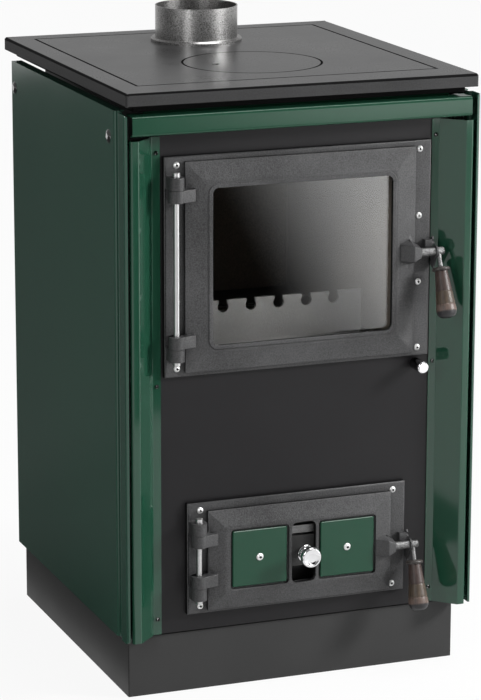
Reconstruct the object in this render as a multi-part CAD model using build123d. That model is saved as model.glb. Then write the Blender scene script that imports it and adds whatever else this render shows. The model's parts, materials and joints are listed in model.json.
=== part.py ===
from build123d import *

import os
from dataclasses import dataclass
from math import cos, hypot, radians, sin

# A small wood burning stove with a hob, a glazed fire door and an ash door.
# Millimetres: +X to the right, +Y to the back, +Z up.
# The origin lies on the floor, below the middle of the hob.

# Hob, hotplate and lid
HOB_WIDTH = 510.0
HOB_DEPTH = 550.0
HOB_HEIGHT = 850.0
HOB_THICKNESS = 18.0
HOB_CORNER = 3.0
HOB_BEVEL = 2.4
HOB_SIDE_BORDER = 37.0
HOB_FRONT_BORDER = 60.0
HOB_REAR_BORDER = 37.0
HOB_RIB = 6.0
HOB_RIB_HEIGHT = 9.0
HOB_RIB_FROM_EDGE = 14.0
HOTPLATE_THICKNESS = 10.0
HOTPLATE_LEDGE = 10.0
HOTPLATE_GAP = 1.5
LID_DIAMETER = 194.0
LID_THICKNESS = 6.0
LID_LEDGE = 6.0
LID_GAP = 1.0
LID_FROM_FRONT = 201.0
LIFTER_SLOT_LENGTH = 11.0
LIFTER_SLOT_WIDTH = 7.0
LIFTER_SLOT_DEPTH = 4.0
LIFTER_SLOT_FROM_RIM = 43.0

# Flue collar
FLUE_DIAMETER = 120.0
FLUE_WALL = 2.0
FLUE_HEIGHT = 52.0
FLUE_FROM_REAR = 124.0
FLUE_FLANGE_WIDTH = 6.5
FLUE_FLANGE_THICKNESS = 6.0
FLUE_FLANGE_BEVEL = 2.5
FLUE_SEAT_GAP = 0.3

# Plinth, floor and inner body
PLINTH_HEIGHT = 86.0
PLINTH_SHEET = 2.0
PLINTH_FLANGE = 25.0
PLINTH_SIDE_SETBACK = 10.0
PLINTH_FRONT_SETBACK = 34.0
PLINTH_REAR_SETBACK = 38.0
FLOOR_SHEET = 3.0
FLOOR_FRONT_GAP = 9.0
WALL_SHEET = 4.0
WALL_SETBACK = 50.0
REAR_WALL_SETBACK = 41.0
REAR_COVER_DEPTH = 10.0
REAR_COVER_INSET = 14.0
REAR_COVER_CLEAR = 24.0
REAR_COVER_BEND = 1.5
VENT_SLOT_LENGTH = 60.0
VENT_SLOT_WIDTH = 9.0
VENT_SLOT_CORNER = 3.0
VENT_SLOT_PITCH = 46.0
VENT_SLOT_COUNT = 7
VENT_SLOT_MARGIN = 60.0

# Casing sheets: side panels, trims, header rail and front plate
CASING_SHEET = 1.5
PANEL_PROUD = 3.0
PANEL_TOP_GAP = 10.0
PANEL_REAR_SETBACK = 43.0
PANEL_FLANGE = 14.0
PANEL_RETURN = 4.5
PANEL_CORNER = 6.0
PANEL_BEND = 2.0
PANEL_GROOVE_FROM_FRONT = 33.0
PANEL_GROOVE_WIDTH = 13.5
PANEL_GROOVE_DEPTH = 6.0
PANEL_FLOOR_OVERHANG = 4.0
BRACKET_WIDTH = 24.0
BRACKET_FLANGE = 20.0
PANEL_SCREW_DROP = 38.0
PANEL_SCREW_FROM_FRONT = 64.0
PANEL_SCREW_FROM_REAR = 17.0
PANEL_SCREW_HEAD = 19.0
FRONT_SETBACK = 29.0
FRONT_SHEET = 3.0
FRONT_SIDE_LAP = 17.0
TRIM_GAP = 4.5
TRIM_FACE = 11.5
TRIM_FLANGE = 11.5
TRIM_RETURN = 7.0
TRIM_BEND = 1.5
TRIM_SCREW_MARGIN = 22.0
TRIM_SCREW_HEAD = 6.0
RAIL_HEIGHT = 27.5
RAIL_TOP_GAP = 13.0
RAIL_SIDE_GAP = 12.0
RAIL_LIP = 10.0
RAIL_MOUNT = 10.0
RAIL_BEND = 3.0
RAIL_TRIM_GAP = 5.4

# Parts that both doors share
FRAME_THICKNESS = 8.0
FRAME_CHAMFER = 1.5
THROAT_WALL = 6.0
THROAT_DEPTH = 20.0
THROAT_GAP = 1.0
DOOR_GAP = 1.0
SEAL_OVERLAP = 18.0
GASKET_WIDTH = 7.0
GASKET_GROOVE = 3.0
GASKET_FROM_EDGE = 9.0
GASKET_REST_GAP = 0.3
HINGE_INSET = 13.0
HINGE_ROD = 8.0
HINGE_ROD_NUT = 10.5
HINGE_ROD_NUT_LENGTH = 6.0
RUNNING_CLEARANCE = 0.08
KNUCKLE = 22.0
KNUCKLE_LENGTH = 17.0
KNUCKLE_SPLIT_GAP = 0.5
KNUCKLE_FRAME_GAP = 1.0
KNUCKLE_LEAF_GAP = 4.0
ARM_LAP = 12.0
ARM_THICKNESS = 9.0
FRAME_SCREW_HEAD = 9.2
SCREW_HEAD_HEIGHT = 2.5
SCREW_HEAD_SIDES = 16
SCREW_SHANK = 4.0
SCREW_SHANK_SIDES = 8

# Fire door
FIRE_FRAME_TRIM_GAP = 3.5
FIRE_FRAME_HEIGHT = 304.0
FIRE_FRAME_DROP = 73.0
FIRE_LEAF_TOP_BORDER = 7.0
FIRE_LEAF_BOTTOM_BORDER = 6.0
FIRE_LEAF_LATCH_BORDER = 25.0
FIRE_LEAF_EDGE = 4.0
FIRE_LEAF_RISE = 6.5
FIRE_HINGE_FROM_EDGE = 43.0
FIRE_SCREW_ROWS = 4
FIRE_SCREW_MARGIN_X = 17.5
FIRE_SCREW_MARGIN_Z = 12.0
FIRE_LATCH_DROP = 1.5
FIRE_GRIP_LEAN = 21.0
GLASS_BORDER = 37.0
GLASS_CORNER = 8.0
GLASS_BEAD = 6.0
GLASS_BEAD_RISE = 1.5
GLASS_BEAD_BEVEL = 0.9
GLASS_THICKNESS = 4.0
GLASS_LAP = 11.0
GLASS_SIDE_GAP = 1.0
GLASS_SEAL_THICKNESS = 2.0
CLIP_LENGTH = 24.0
CLIP_WIDTH = 12.0
CLIP_THICKNESS = 1.5
CLIP_FROM_CENTRE = 75.0

# Ash door with its air slide and tiles
ASH_FRAME_WIDTH = 326.0
ASH_FRAME_HEIGHT = 160.0
ASH_FRAME_RISE = 25.5
ASH_LEAF_TOP_BORDER = 11.5
ASH_LEAF_BOTTOM_BORDER = 5.0
ASH_LEAF_LATCH_BORDER = 24.0
ASH_LEAF_EDGE = 5.0
ASH_LEAF_RISE = 7.0
ASH_LEAF_BEVEL = 25.0
ASH_HINGE_FROM_EDGE = 42.0
ASH_SCREW_ROWS = 2
ASH_SCREW_MARGIN_X = 19.0
ASH_SCREW_MARGIN_Z = 11.0
ASH_LATCH_DROP = 6.0
ASH_GRIP_LEAN = 16.5
TILE = 80.4
TILE_THICKNESS = 4.0
TILE_GAP = 3.0
TILE_SINK = 0.5
TILE_CORNER = 2.0
TILE_BEVEL = 1.0
TILE_SCREW_HEAD = 10.5
AIR_SLOT_FROM_LEAF_CENTRE = 3.0
AIR_SLOT_WIDTH = 35.5
AIR_SLOT_HEIGHT = 87.0
AIR_SLOT_CORNER = 7.0
AIR_SLOT_TILE_WEB = 4.5
AIR_TRAVEL = 22.0
AIR_PLATE_HEIGHT = 44.0
AIR_PLATE_THICKNESS = 3.0
AIR_PLATE_LAP = 9.0
AIR_PLATE_GAP = 0.3
AIR_GUIDE_WIDTH = 12.0
AIR_GUIDE_THICKNESS = 2.0
AIR_GUIDE_LAP = 5.0
AIR_BRIDGE_HEIGHT = 11.0
AIR_BRIDGE_DROP = 8.0
AIR_KNOB = 29.5
AIR_KNOB_REACH = 43.0
AIR_KNOB_HEAD = 9.0
AIR_KNOB_BEVEL = 3.0
AIR_KNOB_WAIST = 15.0
AIR_KNOB_COLLAR = 25.0
AIR_KNOB_COLLAR_START = 17.0
AIR_KNOB_COLLAR_LENGTH = 5.0
AIR_KNOB_STEM = 11.0

# Latch and grip of each door
LATCH_STAND = 15.0
LATCH_SHAFT = 11.5
LATCH_SHAFT_IN_BOSS = 15.0
BOSS_SHORT = 22.0
BOSS_LENGTH = 27.0
BOSS_RIDGE = 12.0
BOSS_HEIGHT = 38.0
BOSS_RIDGE_HEIGHT = 22.0
BOSS_END_HEIGHT = 13.0
BOSS_WALL = 5.0
BOSS_RIM = 2.5
BOSS_FOOT_RISE = 0.5
HOOK_THICKNESS = 2.5
HOOK_EDGE_GAP = 0.6
HOOK_PLATE_GAP = 1.5
HOOK_WIDTH = 4.2
HOOK_HUB = 17.0
HOOK_TIP_ANGLE = 62.0
HOOK_ROOT_ANGLE = -60.0
HOOK_ARM_ANGLE = -62.0
HOOK_ARM_WIDTH = 12.0
HOOK_TAIL_REACH = 26.0
KEEPER_PIN = 6.0
KEEPER_PIN_GAP = 0.4
KEEPER_ANGLE = 45.0
KEEPER_PAD = 11.0
LATCH_HEAD = 11.0
LATCH_HEAD_LENGTH = 11.0
LATCH_HEAD_BEVEL = 1.2
GRIP_FROM_HOOK = 3.3
GRIP_ROD = 6.0
GRIP_START = 23.0
GRIP_END = 93.5
GRIP_TANG = 30.0
GRIP_BELLY = 29.0
GRIP_SHAPE = ((0.0, 0.6), (0.41, 0.79), (0.69, 0.93), (0.85, 1.0), (0.94, 0.88), (1.0, 0.58))
GRIP_FIT = 0.1
FERRULE = 24.5
FERRULE_LENGTH = 5.5
FERRULE_BEVEL = 1.8

# Firebox, grate and ash pan
BRICK = 40.0
BRICK_WALL_GAP = 0.5
BRICK_FRONT_GAP = 46.0
BAFFLE_THICKNESS = 25.0
BAFFLE_DROP = 24.0
BAFFLE_DEPTH = 288.0
BED_THICKNESS = 10.0
BED_ABOVE_FRAME = 7.0
GRATE_WIDTH = 190.0
GRATE_DEPTH = 220.0
GRATE_LEDGE = 8.0
GRATE_GAP = 1.0
GRATE_THICKNESS = 6.0
GRATE_SLIDE_GAP = 0.3
GRATE_SLOTS = 9
GRATE_SLOT_WIDTH = 9.0
GRATE_SLOT_CORNER = 2.5
GRATE_SLOT_MARGIN = 16.0
SHAKER_TRAVEL = 30.0
SHAKER_ROD = 8.0
SHAKER_BELOW_FRAME = 12.0
SHAKER_FROM_FRAME_EDGE = 18.0
SHAKER_BAR = 10.0
SHAKER_BAR_FROM_CENTRE = 60.0
SHAKER_LUG_GAP = 2.0
SHAKER_KNOB = 17.0
SHAKER_KNOB_LENGTH = 30.0
SHAKER_KNOB_BEVEL = 1.6
SHAKER_KNOB_GAP = 4.0
GUARD_WIDTH = 247.0
GUARD_X = -12.0
GUARD_HEIGHT = 84.0
GUARD_THICKNESS = 5.0
GUARD_FROM_FRONT_PLATE = 43.0
GUARD_NOTCHES = 5
GUARD_NOTCH_PITCH = 41.0
GUARD_NOTCH_WIDTH = 16.0
GUARD_NOTCH_DEPTH = 17.0
GUARD_NOTCH_MOUTH = 12.8
GUARD_LUG = 6.0
GUARD_LUG_LENGTH = 30.0
GUARD_LUG_HEIGHT = 9.0
GUARD_LUG_FROM_CENTRE = 70.0
GUARD_LUG_GAP = 0.4
SHELF_SHEET = 3.0
SHELF_BELOW_THROAT = 3.0
PAN_SHEET = 1.5
PAN_SIDE_GAP = 6.0
PAN_TOP_GAP = 12.0
PAN_LENGTH = 380.0
PAN_FRONT_GAP = 6.0
PAN_GRIP = 18.0
PAN_GRIP_WIDTH = 90.0
PAN_GRIP_SHEET = 3.0
PAN_GRIP_DROP = 20.0
PAN_GRIP_HOLE_LENGTH = 72.0
PAN_GRIP_HOLE_WIDTH = 10.0

# Planes and levels that follow from the sizes above
FACE_Y = -HOB_DEPTH / 2
HOB_REAR_Y = HOB_DEPTH / 2
BODY_TOP = HOB_HEIGHT - HOB_THICKNESS
BODY_BOTTOM = PLINTH_HEIGHT + FLOOR_SHEET
PANEL_X = HOB_WIDTH / 2 + PANEL_PROUD
PANEL_TOP = BODY_TOP - PANEL_TOP_GAP
PANEL_REAR_Y = HOB_REAR_Y - PANEL_REAR_SETBACK
WALL_X = HOB_WIDTH / 2 - WALL_SETBACK
WALL_INNER_X = WALL_X - WALL_SHEET
REAR_WALL_Y = HOB_REAR_Y - REAR_WALL_SETBACK
REAR_INNER_Y = REAR_WALL_Y - WALL_SHEET
PLATE_Y = FACE_Y + FRONT_SETBACK
PLATE_INNER_Y = PLATE_Y + FRONT_SHEET
FRAME_Y = PLATE_Y - FRAME_THICKNESS
LEAF_Y = FRAME_Y - DOOR_GAP
TRIM_OUTER_X = PANEL_X - PANEL_RETURN - TRIM_GAP
TRIM_WEB_X = TRIM_OUTER_X - TRIM_FACE - (FRONT_SETBACK - CASING_SHEET)
TRIM_INNER_X = TRIM_WEB_X - TRIM_FLANGE
RAIL_TOP = BODY_TOP - RAIL_TOP_GAP
TRIM_TOP = RAIL_TOP - RAIL_HEIGHT - RAIL_TRIM_GAP
HINGE_Y = FRAME_Y - KNUCKLE / 2 - KNUCKLE_FRAME_GAP
LATCH_Y = FRAME_Y - LATCH_STAND
FLUE_Y = HOB_REAR_Y - FLUE_FROM_REAR
LID_Y = FACE_Y + LID_FROM_FRONT
HOTPLATE_Y = (HOB_FRONT_BORDER - HOB_REAR_BORDER) / 2
HOTPLATE_WIDTH = HOB_WIDTH - 2 * HOB_SIDE_BORDER
HOTPLATE_DEPTH = HOB_DEPTH - HOB_FRONT_BORDER - HOB_REAR_BORDER


@dataclass
class Door:
    """Outlines of one door, seen from the front: its frame, its leaf and its latch."""

    half_width: float
    bottom: float
    top: float
    leaf_top_border: float
    leaf_bottom_border: float
    leaf_latch_border: float
    leaf_edge: float
    leaf_rise: float
    hinge_from_edge: float
    screw_rows: int
    screw_margin_x: float
    screw_margin_z: float
    latch_drop: float
    grip_lean: float

    @property
    def hinge_x(self):
        return -self.half_width + HINGE_INSET

    @property
    def leaf_left(self):
        return self.hinge_x + KNUCKLE / 2 + KNUCKLE_LEAF_GAP

    @property
    def leaf_right(self):
        return self.half_width - self.leaf_latch_border

    @property
    def leaf_bottom(self):
        return self.bottom + self.leaf_bottom_border

    @property
    def leaf_top(self):
        return self.top - self.leaf_top_border

    @property
    def leaf_height(self):
        return self.leaf_top - self.leaf_bottom

    @property
    def leaf_x(self):
        return (self.leaf_left + self.leaf_right) / 2

    @property
    def leaf_z(self):
        return (self.leaf_bottom + self.leaf_top) / 2

    @property
    def latch_z(self):
        return self.leaf_z - self.latch_drop

    @property
    def edge_y(self):
        return LEAF_Y - self.leaf_edge

    @property
    def crown_y(self):
        return self.edge_y - self.leaf_rise

    @property
    def boss_x(self):
        return self.half_width - BOSS_SHORT

    @property
    def hook_x(self):
        return self.half_width + HOOK_EDGE_GAP

    @property
    def head_x(self):
        return self.hook_x + HOOK_THICKNESS

    def screw_places(self):
        """Front view places of the frame's screws, one column at each side."""
        step = (self.top - self.bottom - 2 * self.screw_margin_z) / (self.screw_rows - 1)
        columns = (-self.half_width + self.screw_margin_x, self.half_width - self.screw_margin_x)
        rows = [self.bottom + self.screw_margin_z + row * step for row in range(self.screw_rows)]
        return [(x, z) for x in columns for z in rows]


FIRE = Door(
    half_width=TRIM_INNER_X - FIRE_FRAME_TRIM_GAP,
    bottom=BODY_TOP - FIRE_FRAME_DROP - FIRE_FRAME_HEIGHT,
    top=BODY_TOP - FIRE_FRAME_DROP,
    leaf_top_border=FIRE_LEAF_TOP_BORDER,
    leaf_bottom_border=FIRE_LEAF_BOTTOM_BORDER,
    leaf_latch_border=FIRE_LEAF_LATCH_BORDER,
    leaf_edge=FIRE_LEAF_EDGE,
    leaf_rise=FIRE_LEAF_RISE,
    hinge_from_edge=FIRE_HINGE_FROM_EDGE,
    screw_rows=FIRE_SCREW_ROWS,
    screw_margin_x=FIRE_SCREW_MARGIN_X,
    screw_margin_z=FIRE_SCREW_MARGIN_Z,
    latch_drop=FIRE_LATCH_DROP,
    grip_lean=FIRE_GRIP_LEAN,
)
ASH = Door(
    half_width=ASH_FRAME_WIDTH / 2,
    bottom=BODY_BOTTOM + ASH_FRAME_RISE,
    top=BODY_BOTTOM + ASH_FRAME_RISE + ASH_FRAME_HEIGHT,
    leaf_top_border=ASH_LEAF_TOP_BORDER,
    leaf_bottom_border=ASH_LEAF_BOTTOM_BORDER,
    leaf_latch_border=ASH_LEAF_LATCH_BORDER,
    leaf_edge=ASH_LEAF_EDGE,
    leaf_rise=ASH_LEAF_RISE,
    hinge_from_edge=ASH_HINGE_FROM_EDGE,
    screw_rows=ASH_SCREW_ROWS,
    screw_margin_x=ASH_SCREW_MARGIN_X,
    screw_margin_z=ASH_SCREW_MARGIN_Z,
    latch_drop=ASH_LATCH_DROP,
    grip_lean=ASH_GRIP_LEAN,
)
BED_TOP = FIRE.bottom + BED_ABOVE_FRAME
BED_BOTTOM = BED_TOP - BED_THICKNESS
BAFFLE_BOTTOM = FIRE.top - BAFFLE_DROP
SHAKER_X = FIRE.half_width - SHAKER_FROM_FRAME_EDGE
SHAKER_Z = FIRE.bottom - SHAKER_BELOW_FRAME
GUARD_Y = PLATE_Y + GUARD_FROM_FRONT_PLATE
SHELF_TOP = ASH.leaf_bottom + SEAL_OVERLAP - SHELF_BELOW_THROAT
HOOK_OUTER = LATCH_STAND + FRAME_THICKNESS - HOOK_PLATE_GAP
HOOK_INNER = HOOK_OUTER - HOOK_WIDTH
KEEPER_REACH = HOOK_INNER - KEEPER_PIN_GAP - KEEPER_PIN / 2
GLASS_HEIGHT = FIRE.leaf_height - 2 * GLASS_BORDER
AIR_X = ASH.leaf_x + AIR_SLOT_FROM_LEAF_CENTRE


def block(x, y, z):
    """Box between the two ends given for each axis."""
    size = Box(x[1] - x[0], y[1] - y[0], z[1] - z[0])
    return Pos((x[0] + x[1]) / 2, (y[0] + y[1]) / 2, (z[0] + z[1]) / 2) * size


def front(shape, back_y, depth):
    """A front view outline made solid from the plane at back_y towards the front."""
    return extrude(Plane.XZ.offset(-back_y) * shape, amount=depth, dir=(0, -1, 0))


def across(shape, start_x, length):
    """A side view outline (Y, Z) made solid from start_x towards +X."""
    return extrude(Plane.YZ.offset(start_x) * shape, amount=length, dir=(1, 0, 0))


def upright(shape, start_z, length):
    """A plan outline made solid from start_z upwards."""
    return extrude(Plane.XY.offset(start_z) * shape, amount=length, dir=(0, 0, 1))


def outline(left, right, bottom, top, corner=0.0):
    """Rectangle between four edges, with rounded corners if a radius is given."""
    width = right - left
    height = top - bottom
    shape = RectangleRounded(width, height, corner) if corner else Rectangle(width, height)
    return Pos((left + right) / 2, (bottom + top) / 2) * shape


def folded(points, sheet, bend=0.0):
    """Outline of a folded sheet: a line of points and its mitred copy, sheet to the right of it.

    The bends are rounded: bend is the radius at their inner side.
    """
    normals = []
    for (x0, y0), (x1, y1) in zip(points, points[1:]):
        length = hypot(x1 - x0, y1 - y0)
        normals.append(((y1 - y0) / length, (x0 - x1) / length))
    before = [normals[0]] + normals
    after = normals + [normals[-1]]
    inner = []
    for (x, y), (ax, ay), (bx, by) in zip(points, before, after):
        share = sheet / (1 + ax * bx + ay * by)
        inner.append((x + (ax + bx) * share, y + (ay + by) * share))
    shape = Polygon(*points, *reversed(inner))
    if not bend:
        return shape
    for point, copy, (ax, ay), (bx, by) in list(zip(points, inner, before, after))[1:-1]:
        copy_outside = (ax * by - ay * bx) * sheet > 0
        near, far = (point, copy) if copy_outside else (copy, point)
        for (x, y), radius in ((near, bend), (far, bend + abs(sheet))):
            corner = shape.vertices().sort_by_distance((x, y, 0))[0]
            shape = fillet([corner], radius)
    return shape


def polar(radius, angle):
    return radius * cos(radians(angle)), radius * sin(radians(angle))


def hanging(diameter, length):
    """Round bar from the origin downwards."""
    return Cylinder(diameter / 2, length, align=(Align.CENTER, Align.CENTER, Align.MAX))


def left_hand(solid):
    """Mirror copy of a right-hand piece."""
    return mirror(solid, about=Plane.YZ)


def group(solids):
    """Separate solids kept in one node."""
    return Compound([solid.solid() for solid in solids])


def front_screw(x, z, seat_y, head, reach):
    """Round screw head on a front face, with its shank going back."""
    cap = front(Pos(x, z) * screw_head(head), seat_y, SCREW_HEAD_HEIGHT)
    return cap + front(Pos(x, z) * screw_shank(), seat_y + reach, reach)


def screw_head(head):
    return RegularPolygon(head / 2, SCREW_HEAD_SIDES)


def screw_shank(grow=0.0):
    return RegularPolygon(SCREW_SHANK / 2 + grow, SCREW_SHANK_SIDES)


def screw_hole():
    return screw_shank(RUNNING_CLEARANCE)


# Plinth, floor and inner body


def plinth():
    side = HOB_WIDTH / 2 - PLINTH_SIDE_SETBACK
    front_y = FACE_Y + PLINTH_FRONT_SETBACK
    rear_y = HOB_REAR_Y - PLINTH_REAR_SETBACK
    tray = block((-side, side), (front_y, rear_y), (0, PLINTH_HEIGHT))
    hollow = block(
        (-side + PLINTH_SHEET, side - PLINTH_SHEET),
        (front_y + PLINTH_SHEET, rear_y - PLINTH_SHEET),
        (PLINTH_SHEET, PLINTH_HEIGHT - PLINTH_SHEET),
    )
    mouth = block(
        (-side + PLINTH_FLANGE, side - PLINTH_FLANGE),
        (front_y + PLINTH_FLANGE, rear_y - PLINTH_FLANGE),
        (PLINTH_HEIGHT - PLINTH_SHEET, PLINTH_HEIGHT),
    )
    return tray - hollow - mouth


def body_floor():
    side = PANEL_X - PANEL_FLOOR_OVERHANG
    front_y = PLATE_INNER_Y + FLOOR_FRONT_GAP
    return block((-side, side), (front_y, REAR_WALL_Y), (PLINTH_HEIGHT, BODY_BOTTOM))


def inner_wall():
    return block((WALL_INNER_X, WALL_X), (PLATE_INNER_Y, REAR_INNER_Y), (BODY_BOTTOM, BODY_TOP))


def rear_wall():
    return block((-WALL_X, WALL_X), (REAR_INNER_Y, REAR_WALL_Y), (BODY_BOTTOM, BODY_TOP))


def rear_cover():
    foot_x = WALL_X
    side_x = WALL_X - REAR_COVER_INSET
    foot_y = REAR_WALL_Y + CASING_SHEET
    cover_y = REAR_WALL_Y + REAR_COVER_DEPTH
    section = folded(
        [
            (-foot_x, foot_y),
            (-side_x, foot_y),
            (-side_x, cover_y),
            (side_x, cover_y),
            (side_x, foot_y),
            (foot_x, foot_y),
        ],
        CASING_SHEET,
        REAR_COVER_BEND,
    )
    bottom = BODY_BOTTOM + REAR_COVER_CLEAR
    top = BODY_TOP - REAR_COVER_CLEAR
    cover = upright(section, bottom, top - bottom)
    middle = (VENT_SLOT_COUNT - 1) / 2
    slot = Rectangle(VENT_SLOT_WIDTH, VENT_SLOT_LENGTH)
    slot = chamfer(slot.vertices(), VENT_SLOT_CORNER)
    for row_z in (bottom + VENT_SLOT_MARGIN, top - VENT_SLOT_MARGIN):
        for column in range(VENT_SLOT_COUNT):
            place = Pos((column - middle) * VENT_SLOT_PITCH, row_z)
            cover -= front(place * slot, cover_y, CASING_SHEET)
    return cover


# Casing


def panel_screw_places():
    """Side view places (Y, Z) of the screws that hold each side panel."""
    z = PANEL_TOP - PANEL_SCREW_DROP
    return [(FACE_Y + PANEL_SCREW_FROM_FRONT, z), (PANEL_REAR_Y - PANEL_SCREW_FROM_REAR, z)]


def side_panel():
    groove_y = FACE_Y + PANEL_GROOVE_FROM_FRONT
    half_groove = PANEL_GROOVE_WIDTH / 2
    section = folded(
        [
            (PANEL_X - PANEL_RETURN, FACE_Y),
            (PANEL_X, FACE_Y),
            (PANEL_X, groove_y - half_groove),
            (PANEL_X - PANEL_GROOVE_DEPTH, groove_y - half_groove),
            (PANEL_X - PANEL_GROOVE_DEPTH, groove_y + half_groove),
            (PANEL_X, groove_y + half_groove),
            (PANEL_X, PANEL_REAR_Y),
            (PANEL_X - PANEL_FLANGE, PANEL_REAR_Y),
        ],
        -CASING_SHEET,
        PANEL_BEND,
    )
    panel = upright(section, BODY_BOTTOM, PANEL_TOP - BODY_BOTTOM)
    rounded = outline(FACE_Y, PANEL_REAR_Y, BODY_BOTTOM, PANEL_TOP, PANEL_CORNER)
    panel &= across(rounded, PANEL_X - PANEL_FLANGE, PANEL_FLANGE)
    flange_y = (groove_y + half_groove + CASING_SHEET, PANEL_REAR_Y - PANEL_CORNER)
    for level in (BODY_BOTTOM, PANEL_TOP - CASING_SHEET):
        panel += block((PANEL_X - PANEL_FLANGE, PANEL_X), flange_y, (level, level + CASING_SHEET))
    for y, z in panel_screw_places():
        panel -= across(Pos(y, z) * screw_hole(), PANEL_X - PANEL_FLANGE, PANEL_FLANGE)
    return panel


def panel_brackets():
    brackets = []
    wall_x = WALL_X
    panel_x = PANEL_X - 2 * CASING_SHEET
    for y, z in panel_screw_places():
        web_z = z - BRACKET_FLANGE / 2
        section = folded(
            [
                (wall_x, web_z - BRACKET_FLANGE),
                (wall_x, web_z),
                (panel_x, web_z),
                (panel_x, web_z + BRACKET_FLANGE),
            ],
            CASING_SHEET,
        )
        bracket = front(section, y + BRACKET_WIDTH / 2, BRACKET_WIDTH)
        bracket -= across(Pos(y, z) * screw_hole(), wall_x, PANEL_X - wall_x)
        brackets += [bracket, left_hand(bracket)]
    return group(brackets)


def panel_screws():
    screws = []
    for y, z in panel_screw_places():
        head = across(Pos(y, z) * screw_head(PANEL_SCREW_HEAD), PANEL_X, SCREW_HEAD_HEIGHT)
        shank = across(Pos(y, z) * screw_shank(), PANEL_X - PANEL_FLANGE, PANEL_FLANGE)
        screws += [head + shank, left_hand(head + shank)]
    return group(screws)


def front_plate():
    side = WALL_X + FRONT_SIDE_LAP
    plate = front(outline(-side, side, BODY_BOTTOM, BODY_TOP), PLATE_INNER_Y, FRONT_SHEET)
    holes = throat_outline(FIRE, THROAT_WALL + THROAT_GAP)
    holes += throat_outline(ASH, THROAT_WALL + THROAT_GAP)
    holes += Pos(SHAKER_X, SHAKER_Z) * Circle(SHAKER_ROD / 2 + RUNNING_CLEARANCE)
    for x, z in FIRE.screw_places() + ASH.screw_places() + trim_screw_places():
        holes += Pos(x, z) * screw_hole()
    return plate - front(holes, PLATE_INNER_Y, FRONT_SHEET)


def trim_screw_places():
    """Front view places of the screws that hold both trims on the front plate."""
    x = TRIM_INNER_X + TRIM_FLANGE / 2
    rows = (BODY_BOTTOM + TRIM_SCREW_MARGIN, SHAKER_Z, TRIM_TOP - TRIM_SCREW_MARGIN)
    return [(side * x, z) for side in (-1, 1) for z in rows]


def front_trim():
    section = folded(
        [
            (TRIM_INNER_X, PLATE_Y - CASING_SHEET),
            (TRIM_WEB_X, PLATE_Y - CASING_SHEET),
            (TRIM_OUTER_X - TRIM_FACE, FACE_Y),
            (TRIM_OUTER_X, FACE_Y),
            (TRIM_OUTER_X, FACE_Y + TRIM_RETURN),
        ],
        -CASING_SHEET,
        TRIM_BEND,
    )
    trim = upright(section, BODY_BOTTOM, TRIM_TOP - BODY_BOTTOM)
    for x, z in trim_screw_places():
        trim -= front(Pos(x, z) * screw_hole(), PLATE_Y, CASING_SHEET)
    return trim


def trim_screws():
    seat_y = PLATE_Y - CASING_SHEET
    reach = CASING_SHEET + FRONT_SHEET
    return group([front_screw(x, z, seat_y, TRIM_SCREW_HEAD, reach) for x, z in trim_screw_places()])


def header_rail():
    bottom = RAIL_TOP - RAIL_HEIGHT
    mount_y = PLATE_Y - CASING_SHEET
    section = folded(
        [
            (FACE_Y + RAIL_LIP, bottom),
            (FACE_Y, bottom),
            (FACE_Y, RAIL_TOP),
            (mount_y, RAIL_TOP),
            (mount_y, RAIL_TOP + RAIL_MOUNT),
        ],
        CASING_SHEET,
        RAIL_BEND,
    )
    half = PANEL_X - RAIL_SIDE_GAP
    rail = across(section, -half, 2 * half)
    mount_levels = (RAIL_TOP, RAIL_TOP + RAIL_MOUNT)
    end = block((WALL_X + FRONT_SIDE_LAP, half), (mount_y - RAIL_BEND, PLATE_Y), mount_levels)
    return rail - end - left_hand(end)


# Hob, lid and flue collar


def hob_frame():
    slab = upright(Rectangle(HOB_WIDTH, HOB_DEPTH), BODY_TOP, HOB_THICKNESS)
    slab = fillet(slab.edges().filter_by(Axis.Z), HOB_CORNER)
    slab = chamfer(slab.faces().sort_by(Axis.Z)[-1].edges(), HOB_BEVEL)
    seat = Rectangle(HOTPLATE_WIDTH + 2 * HOTPLATE_GAP, HOTPLATE_DEPTH + 2 * HOTPLATE_GAP)
    through = Rectangle(HOTPLATE_WIDTH - 2 * HOTPLATE_LEDGE, HOTPLATE_DEPTH - 2 * HOTPLATE_LEDGE)
    slab -= upright(Pos(0, HOTPLATE_Y) * seat, HOB_HEIGHT - HOTPLATE_THICKNESS, HOTPLATE_THICKNESS)
    slab -= upright(Pos(0, HOTPLATE_Y) * through, BODY_TOP, HOB_THICKNESS)
    rib = Rectangle(HOB_WIDTH - 2 * HOB_RIB_FROM_EDGE, HOB_DEPTH - 2 * HOB_RIB_FROM_EDGE)
    rib -= Rectangle(rib_inside(HOB_WIDTH), rib_inside(HOB_DEPTH))
    return slab + upright(rib, BODY_TOP - HOB_RIB_HEIGHT, HOB_RIB_HEIGHT)


def rib_inside(size):
    """Inner size of the rib under a hob that measures size."""
    return size - 2 * (HOB_RIB_FROM_EDGE + HOB_RIB)


def hotplate():
    bottom = HOB_HEIGHT - HOTPLATE_THICKNESS
    shape = Pos(0, HOTPLATE_Y) * Rectangle(HOTPLATE_WIDTH, HOTPLATE_DEPTH)
    shape -= Pos(0, LID_Y) * Circle(LID_DIAMETER / 2 - LID_LEDGE)
    shape -= Pos(0, FLUE_Y) * Circle(FLUE_DIAMETER / 2 + FLUE_SEAT_GAP)
    seat = Pos(0, LID_Y) * Circle(LID_DIAMETER / 2 + LID_GAP)
    plate = upright(shape, bottom, HOTPLATE_THICKNESS)
    return plate - upright(seat, HOB_HEIGHT - LID_THICKNESS, LID_THICKNESS)


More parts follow.
